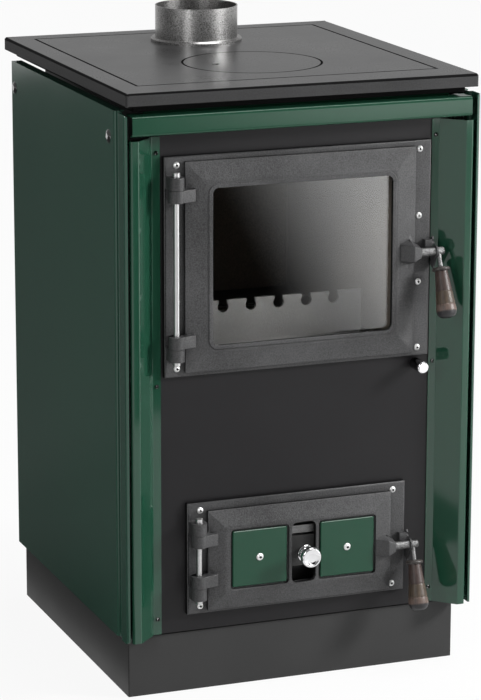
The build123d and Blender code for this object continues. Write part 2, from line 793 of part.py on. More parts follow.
def hotplate_lid():
    lid = upright(Pos(0, LID_Y) * Circle(LID_DIAMETER / 2), HOB_HEIGHT - LID_THICKNESS, LID_THICKNESS)
    slot_x = -LID_DIAMETER / 2 + LIFTER_SLOT_FROM_RIM
    slot = Pos(slot_x, LID_Y) * SlotOverall(LIFTER_SLOT_LENGTH, LIFTER_SLOT_WIDTH)
    return lid - upright(slot, HOB_HEIGHT - LIFTER_SLOT_DEPTH, LIFTER_SLOT_DEPTH)


def flue_collar():
    radius = FLUE_DIAMETER / 2
    bottom = HOB_HEIGHT - HOTPLATE_THICKNESS
    flange_top = HOB_HEIGHT + FLUE_FLANGE_THICKNESS
    profile = Polygon(
        (radius - FLUE_WALL, bottom),
        (radius, bottom),
        (radius, HOB_HEIGHT),
        (radius + FLUE_FLANGE_WIDTH, HOB_HEIGHT),
        (radius + FLUE_FLANGE_WIDTH, flange_top - FLUE_FLANGE_BEVEL),
        (radius + FLUE_FLANGE_WIDTH - FLUE_FLANGE_BEVEL, flange_top),
        (radius, flange_top),
        (radius, HOB_HEIGHT + FLUE_HEIGHT),
        (radius - FLUE_WALL, HOB_HEIGHT + FLUE_HEIGHT),
    )
    return Pos(0, FLUE_Y) * revolve(Plane.XZ * profile, Axis.Z)


# Door frames, hinge rods and gaskets


def leaf_outline(door, inset, corner=0.0):
    left, right = door.leaf_left + inset, door.leaf_right - inset
    return outline(left, right, door.leaf_bottom + inset, door.leaf_top - inset, corner)


def throat_outline(door, grow):
    return leaf_outline(door, SEAL_OVERLAP - grow)


def knuckle_levels(door):
    """Lower ends of the frame's and the leaf's knuckles, each as a pair from bottom to top."""
    lower = door.bottom + door.hinge_from_edge
    upper = door.top - door.hinge_from_edge
    half_gap = KNUCKLE_SPLIT_GAP / 2
    fixed = (lower - half_gap - KNUCKLE_LENGTH, upper + half_gap)
    moving = (lower + half_gap, upper - half_gap - KNUCKLE_LENGTH)
    return fixed, moving


def hinge_bore(door):
    shape = Pos(door.hinge_x, HINGE_Y) * Circle(HINGE_ROD / 2 + RUNNING_CLEARANCE)
    return upright(shape, door.bottom, door.top - door.bottom)


def door_frame(door):
    shape = outline(-door.half_width, door.half_width, door.bottom, door.top)
    flange = front(shape, PLATE_Y, FRAME_THICKNESS)
    flange = chamfer(flange.faces().sort_by(Axis.Y)[0].edges(), FRAME_CHAMFER)
    throat = front(throat_outline(door, THROAT_WALL), PLATE_Y + THROAT_DEPTH, THROAT_DEPTH)
    frame = flange + throat
    frame -= front(throat_outline(door, 0), PLATE_Y + THROAT_DEPTH, THROAT_DEPTH + FRAME_THICKNESS)
    lug = Pos(door.hinge_x, HINGE_Y) * Circle(KNUCKLE / 2)
    lug += Pos(door.hinge_x, (HINGE_Y + FRAME_Y) / 2) * Rectangle(KNUCKLE, FRAME_Y - HINGE_Y)
    for level in knuckle_levels(door)[0]:
        frame += upright(lug, level, KNUCKLE_LENGTH)
    frame -= hinge_bore(door)
    for x, z in door.screw_places():
        frame -= front(Pos(x, z) * screw_hole(), PLATE_Y, FRAME_THICKNESS)
    return frame + keeper(door)


def keeper(door):
    """Cast pad at the frame's latch side, with the pin that the hook goes behind."""
    back, rise = polar(KEEPER_REACH, KEEPER_ANGLE)
    y = LATCH_Y + back
    z = door.latch_z + rise
    pad_x = door.half_width - KEEPER_PAD
    pad = outline(y - KEEPER_PIN / 2, FRAME_Y, z - KEEPER_PAD / 2, z + KEEPER_PAD / 2)
    pin_end = door.hook_x + HOOK_THICKNESS
    pin = across(Pos(y, z) * Circle(KEEPER_PIN / 2), pad_x, pin_end - pad_x)
    return across(pad, pad_x, KEEPER_PAD) + pin


def frame_screws(door):
    reach = FRAME_THICKNESS + FRONT_SHEET
    return group([front_screw(x, z, FRAME_Y, FRAME_SCREW_HEAD, reach) for x, z in door.screw_places()])


def hinge_rod(door):
    bottom = knuckle_levels(door)[0][0]
    top = knuckle_levels(door)[0][1] + KNUCKLE_LENGTH
    place = Pos(door.hinge_x, HINGE_Y)
    rod = upright(place * Circle(HINGE_ROD / 2), bottom, top - bottom)
    for level in (bottom - HINGE_ROD_NUT_LENGTH, top):
        rod += upright(place * Circle(HINGE_ROD_NUT / 2), level, HINGE_ROD_NUT_LENGTH)
    return rod


def gasket_groove(door):
    inset = GASKET_FROM_EDGE
    return leaf_outline(door, inset, inset) - leaf_outline(door, inset + GASKET_WIDTH, GASKET_WIDTH)


def door_gasket(door):
    depth = GASKET_GROOVE + DOOR_GAP - GASKET_REST_GAP
    return front(gasket_groove(door), FRAME_Y - GASKET_REST_GAP, depth)


# Door leaves


def leaf_body(door, crown):
    """Slab with a bevelled front that rises from its edge to the crown outline."""
    slab = front(leaf_outline(door, 0), LEAF_Y, door.leaf_edge)
    low = Plane.XZ.offset(-door.edge_y) * leaf_outline(door, 0)
    high = Plane.XZ.offset(-door.crown_y) * crown
    return slab + loft([low, high])


def hinge_arms(door):
    """Knuckles of the leaf with the straps that carry them."""
    x = door.hinge_x
    knuckle_front = HINGE_Y - KNUCKLE / 2
    strap_end = door.leaf_left + ARM_LAP
    strap = Polygon(
        (x, knuckle_front),
        (strap_end, door.edge_y - ARM_THICKNESS),
        (strap_end, LEAF_Y - door.leaf_edge / 2),
        (door.leaf_left, LEAF_Y - door.leaf_edge / 2),
        (x, HINGE_Y),
    )
    shape = strap + Pos(x, HINGE_Y) * Circle(KNUCKLE / 2)
    lower, upper = knuckle_levels(door)[1]
    return upright(shape, lower, KNUCKLE_LENGTH) + upright(shape, upper, KNUCKLE_LENGTH)


def latch_boss(door):
    """Faceted hood in which the latch shaft turns: it climbs to a ridge and tapers towards the hook."""
    shaft_y = LATCH_Y - LATCH_SHAFT / 2
    foot = hood_section(door, BOSS_LENGTH, door.crown_y - BOSS_FOOT_RISE, BOSS_HEIGHT, BOSS_RIDGE_HEIGHT)
    ridge = hood_section(door, BOSS_RIDGE, shaft_y - BOSS_WALL, BOSS_HEIGHT, BOSS_RIDGE_HEIGHT)
    end = hood_section(door, 0, shaft_y - BOSS_RIM, BOSS_RIDGE_HEIGHT, BOSS_END_HEIGHT)
    return loft([foot, ridge, end], ruled=True)


def hood_section(door, from_end, front_y, foot_height, front_height):
    """Section of the hood across the shaft, wide at the leaf and narrow at its front."""
    foot = foot_height / 2
    nose = front_height / 2
    corners = Polygon((LEAF_Y, -foot), (LEAF_Y, foot), (front_y, nose), (front_y, -nose))
    return Plane.YZ.offset(door.boss_x - from_end) * Pos(0, door.latch_z) * corners


def finish_leaf(leaf, door):
    """Adds hinge arms and latch boss, and cuts the hinge bore, the shaft bore and the gasket groove."""
    leaf += latch_boss(door)
    leaf += hinge_arms(door)
    leaf -= hinge_bore(door)
    bore = Pos(LATCH_Y, door.latch_z) * Circle(LATCH_SHAFT / 2 + RUNNING_CLEARANCE)
    depth = LATCH_SHAFT_IN_BOSS + RUNNING_CLEARANCE
    leaf -= across(bore, door.boss_x - depth, depth)
    return leaf - front(gasket_groove(door), LEAF_Y, GASKET_GROOVE)


def glass_outline(grow, corner=0.0):
    return leaf_outline(FIRE, GLASS_BORDER - grow, corner)


def fire_door_leaf():
    bead_corner = GLASS_CORNER + GLASS_BEAD
    leaf = leaf_body(FIRE, glass_outline(GLASS_BEAD + GLASS_BEAD_RISE))
    bead = front(glass_outline(GLASS_BEAD, bead_corner), FIRE.crown_y, GLASS_BEAD_RISE)
    leaf += chamfer(bead.faces().sort_by(Axis.Y)[0].edges(), GLASS_BEAD_BEVEL)
    depth = LEAF_Y - FIRE.crown_y + GLASS_BEAD_RISE
    leaf -= front(glass_outline(0, GLASS_CORNER), LEAF_Y, depth)
    pocket = GLASS_THICKNESS + GLASS_SEAL_THICKNESS
    leaf -= front(glass_outline(GLASS_LAP + GLASS_SIDE_GAP), LEAF_Y, pocket)
    return finish_leaf(leaf, FIRE)


def fire_door_glass():
    return front(glass_outline(GLASS_LAP), LEAF_Y, GLASS_THICKNESS)


def glass_seal():
    ring = glass_outline(GLASS_LAP) - glass_outline(GLASS_SIDE_GAP, GLASS_CORNER)
    return front(ring, LEAF_Y - GLASS_THICKNESS, GLASS_SEAL_THICKNESS)


def glass_clips():
    """Four flat clips behind the leaf that press on the upper and lower rim of the glass."""
    clips = []
    inner = GLASS_HEIGHT / 2 + GLASS_LAP + GLASS_SIDE_GAP
    for x in (-CLIP_FROM_CENTRE, CLIP_FROM_CENTRE):
        for z in (-inner, inner):
            clip = Pos(FIRE.leaf_x + x, FIRE.leaf_z + z) * Rectangle(CLIP_LENGTH, CLIP_WIDTH)
            clips.append(front(clip, LEAF_Y + CLIP_THICKNESS, CLIP_THICKNESS))
    return group(clips)


def tile_places():
    step = AIR_SLOT_WIDTH / 2 + AIR_SLOT_TILE_WEB + TILE_GAP + TILE / 2
    return AIR_X - step, AIR_X + step


def tile_seat_y():
    return ASH.crown_y + TILE_SINK + TILE_THICKNESS


def tile(x, grow=0.0):
    side = TILE + 2 * grow
    return Pos(x, ASH.leaf_z) * RectangleRounded(side, side, TILE_CORNER + grow)


def air_guide_height():
    return AIR_PLATE_HEIGHT / 2 + AIR_TRAVEL + AIR_PLATE_GAP


def air_plate_half_width():
    return AIR_SLOT_WIDTH / 2 + AIR_PLATE_LAP


def ash_door_leaf():
    leaf = leaf_body(ASH, leaf_outline(ASH, ASH_LEAF_BEVEL))
    for x in tile_places():
        leaf -= front(tile(x, TILE_GAP), tile_seat_y(), TILE_SINK + TILE_THICKNESS)
        leaf -= front(Pos(x, ASH.leaf_z) * screw_hole(), LEAF_Y, LEAF_Y - ASH.crown_y)
    slot = RectangleRounded(AIR_SLOT_WIDTH, AIR_SLOT_HEIGHT, AIR_SLOT_CORNER)
    leaf -= front(Pos(AIR_X, ASH.leaf_z) * slot, LEAF_Y, LEAF_Y - ASH.crown_y)
    half = air_plate_half_width() + AIR_PLATE_GAP
    run = air_guide_height()
    bed = outline(AIR_X - half, AIR_X + half, ASH.leaf_z - run, ASH.leaf_z + run)
    leaf -= front(bed, LEAF_Y, AIR_PLATE_THICKNESS + 2 * AIR_PLATE_GAP)
    return finish_leaf(leaf, ASH)


def ash_tile(x):
    plate = front(tile(x), tile_seat_y(), TILE_THICKNESS)
    plate = chamfer(plate.faces().sort_by(Axis.Y)[0].edges(), TILE_BEVEL)
    return plate - front(Pos(x, ASH.leaf_z) * screw_hole(), tile_seat_y(), TILE_THICKNESS)


def tile_screws():
    seat_y = ASH.crown_y + TILE_SINK
    reach = LEAF_Y - seat_y
    return group([front_screw(x, ASH.leaf_z, seat_y, TILE_SCREW_HEAD, reach) for x in tile_places()])


def air_slide_guides():
    """Two upright strips behind the leaf that hold the air plate, joined by a bridge."""
    inner = air_plate_half_width() - AIR_GUIDE_LAP
    outer = inner + AIR_GUIDE_WIDTH
    run = air_guide_height()
    bridge_top = ASH.leaf_z + AIR_SLOT_HEIGHT / 2 - AIR_BRIDGE_DROP
    shape = outline(AIR_X - inner, AIR_X + inner, bridge_top - AIR_BRIDGE_HEIGHT, bridge_top)
    for left in (-outer, inner):
        strip = AIR_X + left
        shape += outline(strip, strip + AIR_GUIDE_WIDTH, ASH.leaf_z - run, ASH.leaf_z + run)
    return front(shape, LEAF_Y + AIR_GUIDE_THICKNESS, AIR_GUIDE_THICKNESS)


def air_slide_plate():
    half = air_plate_half_width()
    shape = Pos(AIR_X, ASH.leaf_z) * Rectangle(2 * half, AIR_PLATE_HEIGHT)
    return front(shape, LEAF_Y - AIR_PLATE_GAP, AIR_PLATE_THICKNESS)


def air_slide_knob():
    """Turned knob: stem, collar, waist and a bevelled head."""
    foot = AIR_PLATE_GAP + AIR_PLATE_THICKNESS
    head = AIR_KNOB / 2
    stem = AIR_KNOB_STEM / 2
    waist = AIR_KNOB_WAIST / 2
    collar = AIR_KNOB_COLLAR / 2
    collar_end = AIR_KNOB_COLLAR_START + AIR_KNOB_COLLAR_LENGTH
    head_start = AIR_KNOB_REACH - AIR_KNOB_HEAD
    profile = Polygon(
        (0, foot),
        (stem, foot),
        (stem, AIR_KNOB_COLLAR_START),
        (collar, AIR_KNOB_COLLAR_START),
        (collar, collar_end),
        (waist, collar_end),
        (waist, head_start - AIR_KNOB_BEVEL),
        (head, head_start),
        (head, AIR_KNOB_REACH - AIR_KNOB_BEVEL),
        (head - AIR_KNOB_BEVEL, AIR_KNOB_REACH),
        (0, AIR_KNOB_REACH),
    )
    knob = revolve(profile, Axis.Y)
    return Pos(AIR_X, LEAF_Y, ASH.leaf_z) * Rot(0, 0, 180) * knob


# Latches and grips


def latch_shaft(door):
    """Shaft in the boss, with the slimmer head that takes the hook and the grip rod."""
    start = door.boss_x - LATCH_SHAFT_IN_BOSS
    place = Pos(LATCH_Y, door.latch_z)
    shaft = across(place * Circle(LATCH_SHAFT / 2), start, door.hook_x - start)
    head_length = HOOK_THICKNESS + LATCH_HEAD_LENGTH
    head = across(place * Circle(LATCH_HEAD / 2), door.hook_x, head_length)
    head = chamfer(head.edges().group_by(Axis.X)[-1], LATCH_HEAD_BEVEL)
    return shaft + head - grip_place(door) * hanging(GRIP_ROD + 2 * GRIP_FIT, LATCH_HEAD)


def latch_hook(door):
    """Flat hook: hub, tail and the horn that reaches up behind the keeper pin."""
    far = 2 * HOOK_OUTER
    sweep = (HOOK_ROOT_ANGLE, (HOOK_ROOT_ANGLE + HOOK_TIP_ANGLE) / 2, HOOK_TIP_ANGLE)
    wedge = Polygon((0, 0), *[polar(far, angle) for angle in sweep])
    horn = (Circle(HOOK_OUTER) - Circle(HOOK_INNER)) & wedge
    arm = Pos(HOOK_TAIL_REACH / 2, 0) * Rectangle(HOOK_TAIL_REACH, HOOK_ARM_WIDTH)
    shape = horn + Rot(0, 0, HOOK_ARM_ANGLE) * arm + Circle(HOOK_HUB / 2)
    shape -= Circle(LATCH_HEAD / 2 + GRIP_FIT)
    return across(Pos(LATCH_Y, door.latch_z) * shape, door.hook_x, HOOK_THICKNESS)


def grip_place(door):
    """Where the grip's axis crosses the shaft, with -Z running down the grip."""
    return Pos(door.head_x + GRIP_FROM_HOOK, LATCH_Y, door.latch_z) * Rot(-door.grip_lean, 0, 0)


def grip_rod(door):
    return grip_place(door) * hanging(GRIP_ROD, GRIP_START + GRIP_TANG)


def grip_ferrule(door):
    ring = chamfer(hanging(FERRULE, FERRULE_LENGTH).edges(), FERRULE_BEVEL)
    ring -= hanging(GRIP_ROD + 2 * GRIP_FIT, FERRULE_LENGTH)
    return grip_place(door) * Pos(0, 0, -GRIP_START) * ring


def grip(door):
    """Turned wooden handle: slim neck, belly near its lower end, rounded end."""
    top = -GRIP_START - FERRULE_LENGTH
    length = GRIP_END + top
    belly = GRIP_BELLY / 2
    side = [(belly * share, top - length * way) for way, share in GRIP_SHAPE]
    wood = revolve(Plane.XZ * Polygon((0, top), *side, (0, -GRIP_END)), Axis.Z)
    return grip_place(door) * (wood - hanging(GRIP_ROD + 2 * GRIP_FIT, GRIP_START + GRIP_TANG))


# Firebox, grate, shaker and ash pan


def firebrick_side():
    outer = WALL_INNER_X - BRICK_WALL_GAP
    depth = (PLATE_Y + BRICK_FRONT_GAP, REAR_INNER_Y - BRICK_WALL_GAP)
    return block((outer - BRICK, outer), depth, (BED_TOP, BAFFLE_BOTTOM))


def firebrick_rear():
    half = WALL_INNER_X - 2 * BRICK_WALL_GAP - BRICK
    rear = REAR_INNER_Y - BRICK_WALL_GAP
    return block((-half, half), (rear - BRICK, rear), (BED_TOP, BAFFLE_BOTTOM))


def baffle():
    half = WALL_INNER_X - BRICK_WALL_GAP
    rear = REAR_INNER_Y - BRICK_WALL_GAP
    levels = (BAFFLE_BOTTOM, BAFFLE_BOTTOM + BAFFLE_THICKNESS)
    return block((-half, half), (rear - BAFFLE_DEPTH, rear), levels)


def grate_bed():
    """Cast floor of the firebox, with the shaker grate's seat and the lugs that hold the log guard."""
    bed = block((-WALL_INNER_X, WALL_INNER_X), (PLATE_INNER_Y, REAR_INNER_Y), (BED_BOTTOM, BED_TOP))
    half = GRATE_WIDTH / 2 + GRATE_GAP
    seat_front = -GRATE_DEPTH / 2 - SHAKER_TRAVEL - GRATE_GAP
    seat_rear = GRATE_DEPTH / 2 + GRATE_GAP
    seat = outline(-half, half, seat_front, seat_rear)
    half -= GRATE_LEDGE
    through = outline(-half, half, seat_front + GRATE_LEDGE, seat_rear - GRATE_LEDGE)
    seat_depth = GRATE_THICKNESS + GRATE_SLIDE_GAP
    bed -= upright(seat, BED_TOP - seat_depth, seat_depth)
    bed -= upright(through, BED_BOTTOM, BED_THICKNESS)
    for x in (GUARD_X - GUARD_LUG_FROM_CENTRE, GUARD_X + GUARD_LUG_FROM_CENTRE):
        for y in (GUARD_Y + GUARD_LUG_GAP, GUARD_Y - GUARD_THICKNESS - GUARD_LUG_GAP - GUARD_LUG):
            bed += block(
                (x - GUARD_LUG_LENGTH / 2, x + GUARD_LUG_LENGTH / 2),
                (y, y + GUARD_LUG),
                (BED_TOP, BED_TOP + GUARD_LUG_HEIGHT),
            )
    return bed


def shaker_grate():
    """Slotted grate that slides on its seat, with the lug and cross bar that the rod pulls."""
    grate = upright(Rectangle(GRATE_WIDTH, GRATE_DEPTH), BED_TOP - GRATE_THICKNESS, GRATE_THICKNESS)
    pitch = (GRATE_DEPTH - 2 * GRATE_SLOT_MARGIN - GRATE_SLOT_WIDTH) / (GRATE_SLOTS - 1)
    slot = Rectangle(GRATE_WIDTH - 2 * GRATE_SLOT_MARGIN, GRATE_SLOT_WIDTH)
    slot = chamfer(slot.vertices(), GRATE_SLOT_CORNER)
    for row in range(GRATE_SLOTS):
        y = -GRATE_DEPTH / 2 + GRATE_SLOT_MARGIN + GRATE_SLOT_WIDTH / 2 + row * pitch
        grate -= upright(Pos(0, y) * slot, BED_TOP - GRATE_THICKNESS, GRATE_THICKNESS)
    lug_x = GRATE_WIDTH / 2 + GRATE_GAP - GRATE_LEDGE - SHAKER_LUG_GAP
    bar_y = (-SHAKER_BAR_FROM_CENTRE, -SHAKER_BAR_FROM_CENTRE + SHAKER_BAR)
    bar_z = (SHAKER_Z - SHAKER_BAR / 2, SHAKER_Z + SHAKER_BAR / 2)
    grate += block((lug_x - SHAKER_BAR, lug_x), bar_y, (bar_z[0], BED_TOP - GRATE_THICKNESS))
    return grate + block((lug_x - SHAKER_BAR, SHAKER_X + SHAKER_ROD), bar_y, bar_z)


def shaker_rod():
    start = -SHAKER_BAR_FROM_CENTRE
    tip = PLATE_Y - SHAKER_KNOB_GAP - SHAKER_KNOB_LENGTH / 2
    return front(Pos(SHAKER_X, SHAKER_Z) * Circle(SHAKER_ROD / 2), start, start - tip)


def shaker_knob():
    """Plain turned knob with a bevelled front edge."""
    place = Pos(SHAKER_X, SHAKER_Z)
    start = PLATE_Y - SHAKER_KNOB_GAP
    knob = front(place * Circle(SHAKER_KNOB / 2), start, SHAKER_KNOB_LENGTH)
    knob = chamfer(knob.edges().group_by(Axis.Y)[0], SHAKER_KNOB_BEVEL)
    return knob - front(place * Circle(SHAKER_ROD / 2 + GRIP_FIT), start, SHAKER_KNOB_LENGTH / 2)


def log_guard():
    half = GUARD_WIDTH / 2
    plate = outline(GUARD_X - half, GUARD_X + half, BED_TOP, BED_TOP + GUARD_HEIGHT)
    middle = (GUARD_NOTCHES - 1) / 2
    top = BED_TOP + GUARD_HEIGHT
    for notch in range(GUARD_NOTCHES):
        x = GUARD_X + (notch - middle) * GUARD_NOTCH_PITCH
        centre_z = top - GUARD_NOTCH_DEPTH + GUARD_NOTCH_WIDTH / 2
        plate -= Pos(x, centre_z) * Circle(GUARD_NOTCH_WIDTH / 2)
        plate -= outline(x - GUARD_NOTCH_MOUTH / 2, x + GUARD_NOTCH_MOUTH / 2, centre_z, top)
    return front(plate, GUARD_Y, GUARD_THICKNESS)


def ash_shelf():
    front_y = PLATE_Y + THROAT_DEPTH + THROAT_GAP
    levels = (SHELF_TOP - SHELF_SHEET, SHELF_TOP)
    return block((-WALL_INNER_X, WALL_INNER_X), (front_y, REAR_INNER_Y), levels)


def ash_pan():
    """Open tray that passes through the ash door's throat, with a finger grip at its front."""
    left = ASH.leaf_left + SEAL_OVERLAP + PAN_SIDE_GAP
    right = ASH.leaf_right - SEAL_OVERLAP - PAN_SIDE_GAP
    front_y = PLATE_Y + THROAT_DEPTH + PAN_FRONT_GAP
    rear_y = front_y + PAN_LENGTH
    top = ASH.leaf_top - SEAL_OVERLAP - PAN_TOP_GAP
    pan = block((left, right), (front_y, rear_y), (SHELF_TOP, top))
    pan -= block(
        (left + PAN_SHEET, right - PAN_SHEET),
        (front_y + PAN_SHEET, rear_y - PAN_SHEET),
        (SHELF_TOP + PAN_SHEET, top),
    )
    tab = Rectangle(PAN_GRIP_WIDTH, PAN_GRIP) - SlotOverall(PAN_GRIP_HOLE_LENGTH, PAN_GRIP_HOLE_WIDTH)
    tab = Pos(ASH.leaf_x, front_y - PAN_GRIP / 2) * tab
    return pan + upright(tab, top - PAN_GRIP_DROP, PAN_GRIP_SHEET)


NODES = {
    "plinth": plinth(),
    "body_floor": body_floor(),
    "inner_wall_right": inner_wall(),
    "inner_wall_left": left_hand(inner_wall()),
    "rear_wall": rear_wall(),
    "rear_cover": rear_cover(),
    "front_plate": front_plate(),
    "front_trim_right": front_trim(),
    "front_trim_left": left_hand(front_trim()),
    "trim_screws": trim_screws(),
    "header_rail": header_rail(),
    "side_panel_right": side_panel(),
    "side_panel_left": left_hand(side_panel()),
    "panel_brackets": panel_brackets(),
    "panel_screws": panel_screws(),
    "hob_frame": hob_frame(),
    "hotplate": hotplate(),
    "hotplate_lid": hotplate_lid(),
    "flue_collar": flue_collar(),
    "firebrick_right": firebrick_side(),
    "firebrick_left": left_hand(firebrick_side()),
    "firebrick_rear": firebrick_rear(),
    "baffle": baffle(),
    "grate_bed": grate_bed(),
    "shaker_grate": shaker_grate(),
    "shaker_rod": shaker_rod(),
    "shaker_knob": shaker_knob(),
    "log_guard": log_guard(),
    "ash_shelf": ash_shelf(),
    "ash_pan": ash_pan(),
    "fire_door_leaf": fire_door_leaf(),
    "fire_door_glass": fire_door_glass(),
    "glass_seal": glass_seal(),
    "glass_clips": glass_clips(),
    "ash_door_leaf": ash_door_leaf(),
    "ash_tile_left": ash_tile(tile_places()[0]),
    "ash_tile_right": ash_tile(tile_places()[1]),
    "tile_screws": tile_screws(),
    "air_slide_guides": air_slide_guides(),
    "air_slide_plate": air_slide_plate(),
    "air_slide_knob": air_slide_knob(),
}
for name, door in (("fire", FIRE), ("ash", ASH)):
    NODES[f"{name}_door_frame"] = door_frame(door)
    NODES[f"{name}_frame_screws"] = frame_screws(door)
    NODES[f"{name}_hinge_rod"] = hinge_rod(door)
    NODES[f"{name}_door_gasket"] = door_gasket(door)
    NODES[f"{name}_latch_shaft"] = latch_shaft(door)
    NODES[f"{name}_latch_hook"] = latch_hook(door)
    NODES[f"{name}_grip_rod"] = grip_rod(door)
    NODES[f"{name}_grip_ferrule"] = grip_ferrule(door)
    NODES[f"{name}_grip"] = grip(door)

os.makedirs("parts", exist_ok=True)
for name, solid in NODES.items():
    export_step(solid, f"parts/{name}.step")
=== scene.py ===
import json
from math import cos, exp, pi, radians, sin

import bmesh
import bpy
from mathutils import Matrix, Vector

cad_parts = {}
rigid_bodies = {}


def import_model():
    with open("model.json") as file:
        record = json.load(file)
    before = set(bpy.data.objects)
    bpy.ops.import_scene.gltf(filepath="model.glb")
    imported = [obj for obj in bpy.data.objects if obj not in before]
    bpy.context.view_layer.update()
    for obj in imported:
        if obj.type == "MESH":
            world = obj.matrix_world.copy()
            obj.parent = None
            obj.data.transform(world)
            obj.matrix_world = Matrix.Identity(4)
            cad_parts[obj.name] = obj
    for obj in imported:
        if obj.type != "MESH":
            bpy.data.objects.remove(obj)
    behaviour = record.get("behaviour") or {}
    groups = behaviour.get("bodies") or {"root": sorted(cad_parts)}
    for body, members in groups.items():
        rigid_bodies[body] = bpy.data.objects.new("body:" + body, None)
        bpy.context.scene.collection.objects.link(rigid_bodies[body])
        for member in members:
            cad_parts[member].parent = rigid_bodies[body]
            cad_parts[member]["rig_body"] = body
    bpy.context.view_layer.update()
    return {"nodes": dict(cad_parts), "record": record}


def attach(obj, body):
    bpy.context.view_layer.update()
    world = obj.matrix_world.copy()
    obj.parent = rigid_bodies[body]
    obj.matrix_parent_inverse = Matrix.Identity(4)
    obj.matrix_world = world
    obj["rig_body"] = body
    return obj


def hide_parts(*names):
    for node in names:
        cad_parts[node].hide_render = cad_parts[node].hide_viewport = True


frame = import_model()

# Plinth: a tray of folded sheet steel under the casing, set back so that toes go under the edge.
# It is powder coated in matt anthracite with a fine sandy skin.


def placed(name, mesh):
    """New object in the scene for a mesh that already has its place."""
    piece = bpy.data.objects.new(name, mesh)
    bpy.context.scene.collection.objects.link(piece)
    return piece


def settled(piece):
    """Makes a piece and its modifiers one plain mesh."""
    bpy.context.view_layer.update()
    evaluated = piece.evaluated_get(bpy.context.evaluated_depsgraph_get())
    mesh = bpy.data.meshes.new_from_object(evaluated)
    piece.modifiers.clear()
    piece.data = mesh
    return piece


def painted(piece, material):
    piece.data.materials.clear()
    piece.data.materials.append(material)
    return piece


def stands_for(piece, node):
    """The piece moves with the solid's body and is shown in its place."""
    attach(piece, frame["nodes"][node]["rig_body"])
    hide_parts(node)
    return piece


def welded(node):
    """The solid's mesh with its corners joined."""
    form = bmesh.new()
    form.from_mesh(frame["nodes"][node].data)
    bmesh.ops.remove_doubles(form, verts=form.verts, dist=1e-6)
    return form


def eased(node, material, edge=0.0, shortest=0.004):
    """Smooth copy of a solid. Its longer sharp edges are broken, as after casting or painting."""
    form = welded(node)
    crease = radians(32)
    weights = form.edges.layers.float.new("bevel_weight_edge")
    for face in form.faces:
        face.smooth = True
    for seam in form.edges:
        if len(seam.link_faces) == 2 and seam.calc_face_angle() > crease:
            if edge and seam.calc_length() > shortest:
                seam[weights] = 1.0
            else:
                seam.smooth = False
    mesh = bpy.data.meshes.new(node + "_eased")
    form.to_mesh(mesh)
    form.free()
    piece = placed(node + "_eased", mesh)
    if edge:
        bevel = piece.modifiers.new("edge", "BEVEL")
        bevel.width = edge
        bevel.segments = 2
        bevel.limit_method = "WEIGHT"
        bevel.use_clamp_overlap = False
    flats = piece.modifiers.new("flats", "WEIGHTED_NORMAL")
    flats.keep_sharp = True
    return stands_for(painted(settled(piece), material), node)


def shader_group(name, sizes, results):
    """Empty shader node group with named sizes going in and named values coming out."""
    tree = bpy.data.node_groups.new(name, "ShaderNodeTree")
    for size, value in sizes.items():
        socket = tree.interface.new_socket(size, in_out="INPUT", socket_type="NodeSocketFloat")
        socket.default_value = value
    for value in results:
        tree.interface.new_socket(value, in_out="OUTPUT", socket_type="NodeSocketFloat")
    return tree, tree.nodes.new("NodeGroupInput"), tree.nodes.new("NodeGroupOutput")


def noise(tree, place, detail, roughness=0.5):
    """Noise texture on the given coordinates; its scale is linked afterwards."""
    node = tree.nodes.new("ShaderNodeTexNoise")
    node.inputs["Detail"].default_value = detail
    node.inputs["Roughness"].default_value = roughness
    tree.links.new(place, node.inputs["Vector"])
    return node


def blended(tree, share, first, second):
    """Value between two others."""
    node = tree.nodes.new("ShaderNodeMix")
    node.data_type = "FLOAT"
    node.inputs[0].default_value = share
    tree.links.new(first, node.inputs[2])
    tree.links.new(second, node.inputs[3])
    return node.outputs[0]


# Skin of sprayed paint and enamel: broad clouds in the tone, slow waves and fine orange peel in relief.
paint_skin, sizes, results = shader_group(
    "paint_skin", {"Cloud": 6.0, "Wave": 14.0, "Peel": 700.0}, ["Tone", "Height"]
)
place = paint_skin.nodes.new("ShaderNodeTexCoord").outputs["Object"]
cloud = noise(paint_skin, place, 3.0)
wave = noise(paint_skin, place, 1.0)
peel = noise(paint_skin, place, 2.0)
for texture, socket in ((cloud, "Cloud"), (wave, "Wave"), (peel, "Peel")):
    paint_skin.links.new(sizes.outputs[socket], texture.inputs["Scale"])
tone = blended(paint_skin, 0.3, cloud.outputs["Fac"], peel.outputs["Fac"])
paint_skin.links.new(tone, results.inputs["Tone"])
height = blended(paint_skin, 0.12, wave.outputs["Fac"], peel.outputs["Fac"])
paint_skin.links.new(height, results.inputs["Height"])


def plain_material(name):
    """New material, with its node tree and its surface shader."""
    material = bpy.data.materials.new(name)
    material.use_nodes = True
    return material, material.node_tree, material.node_tree.nodes["Principled BSDF"]


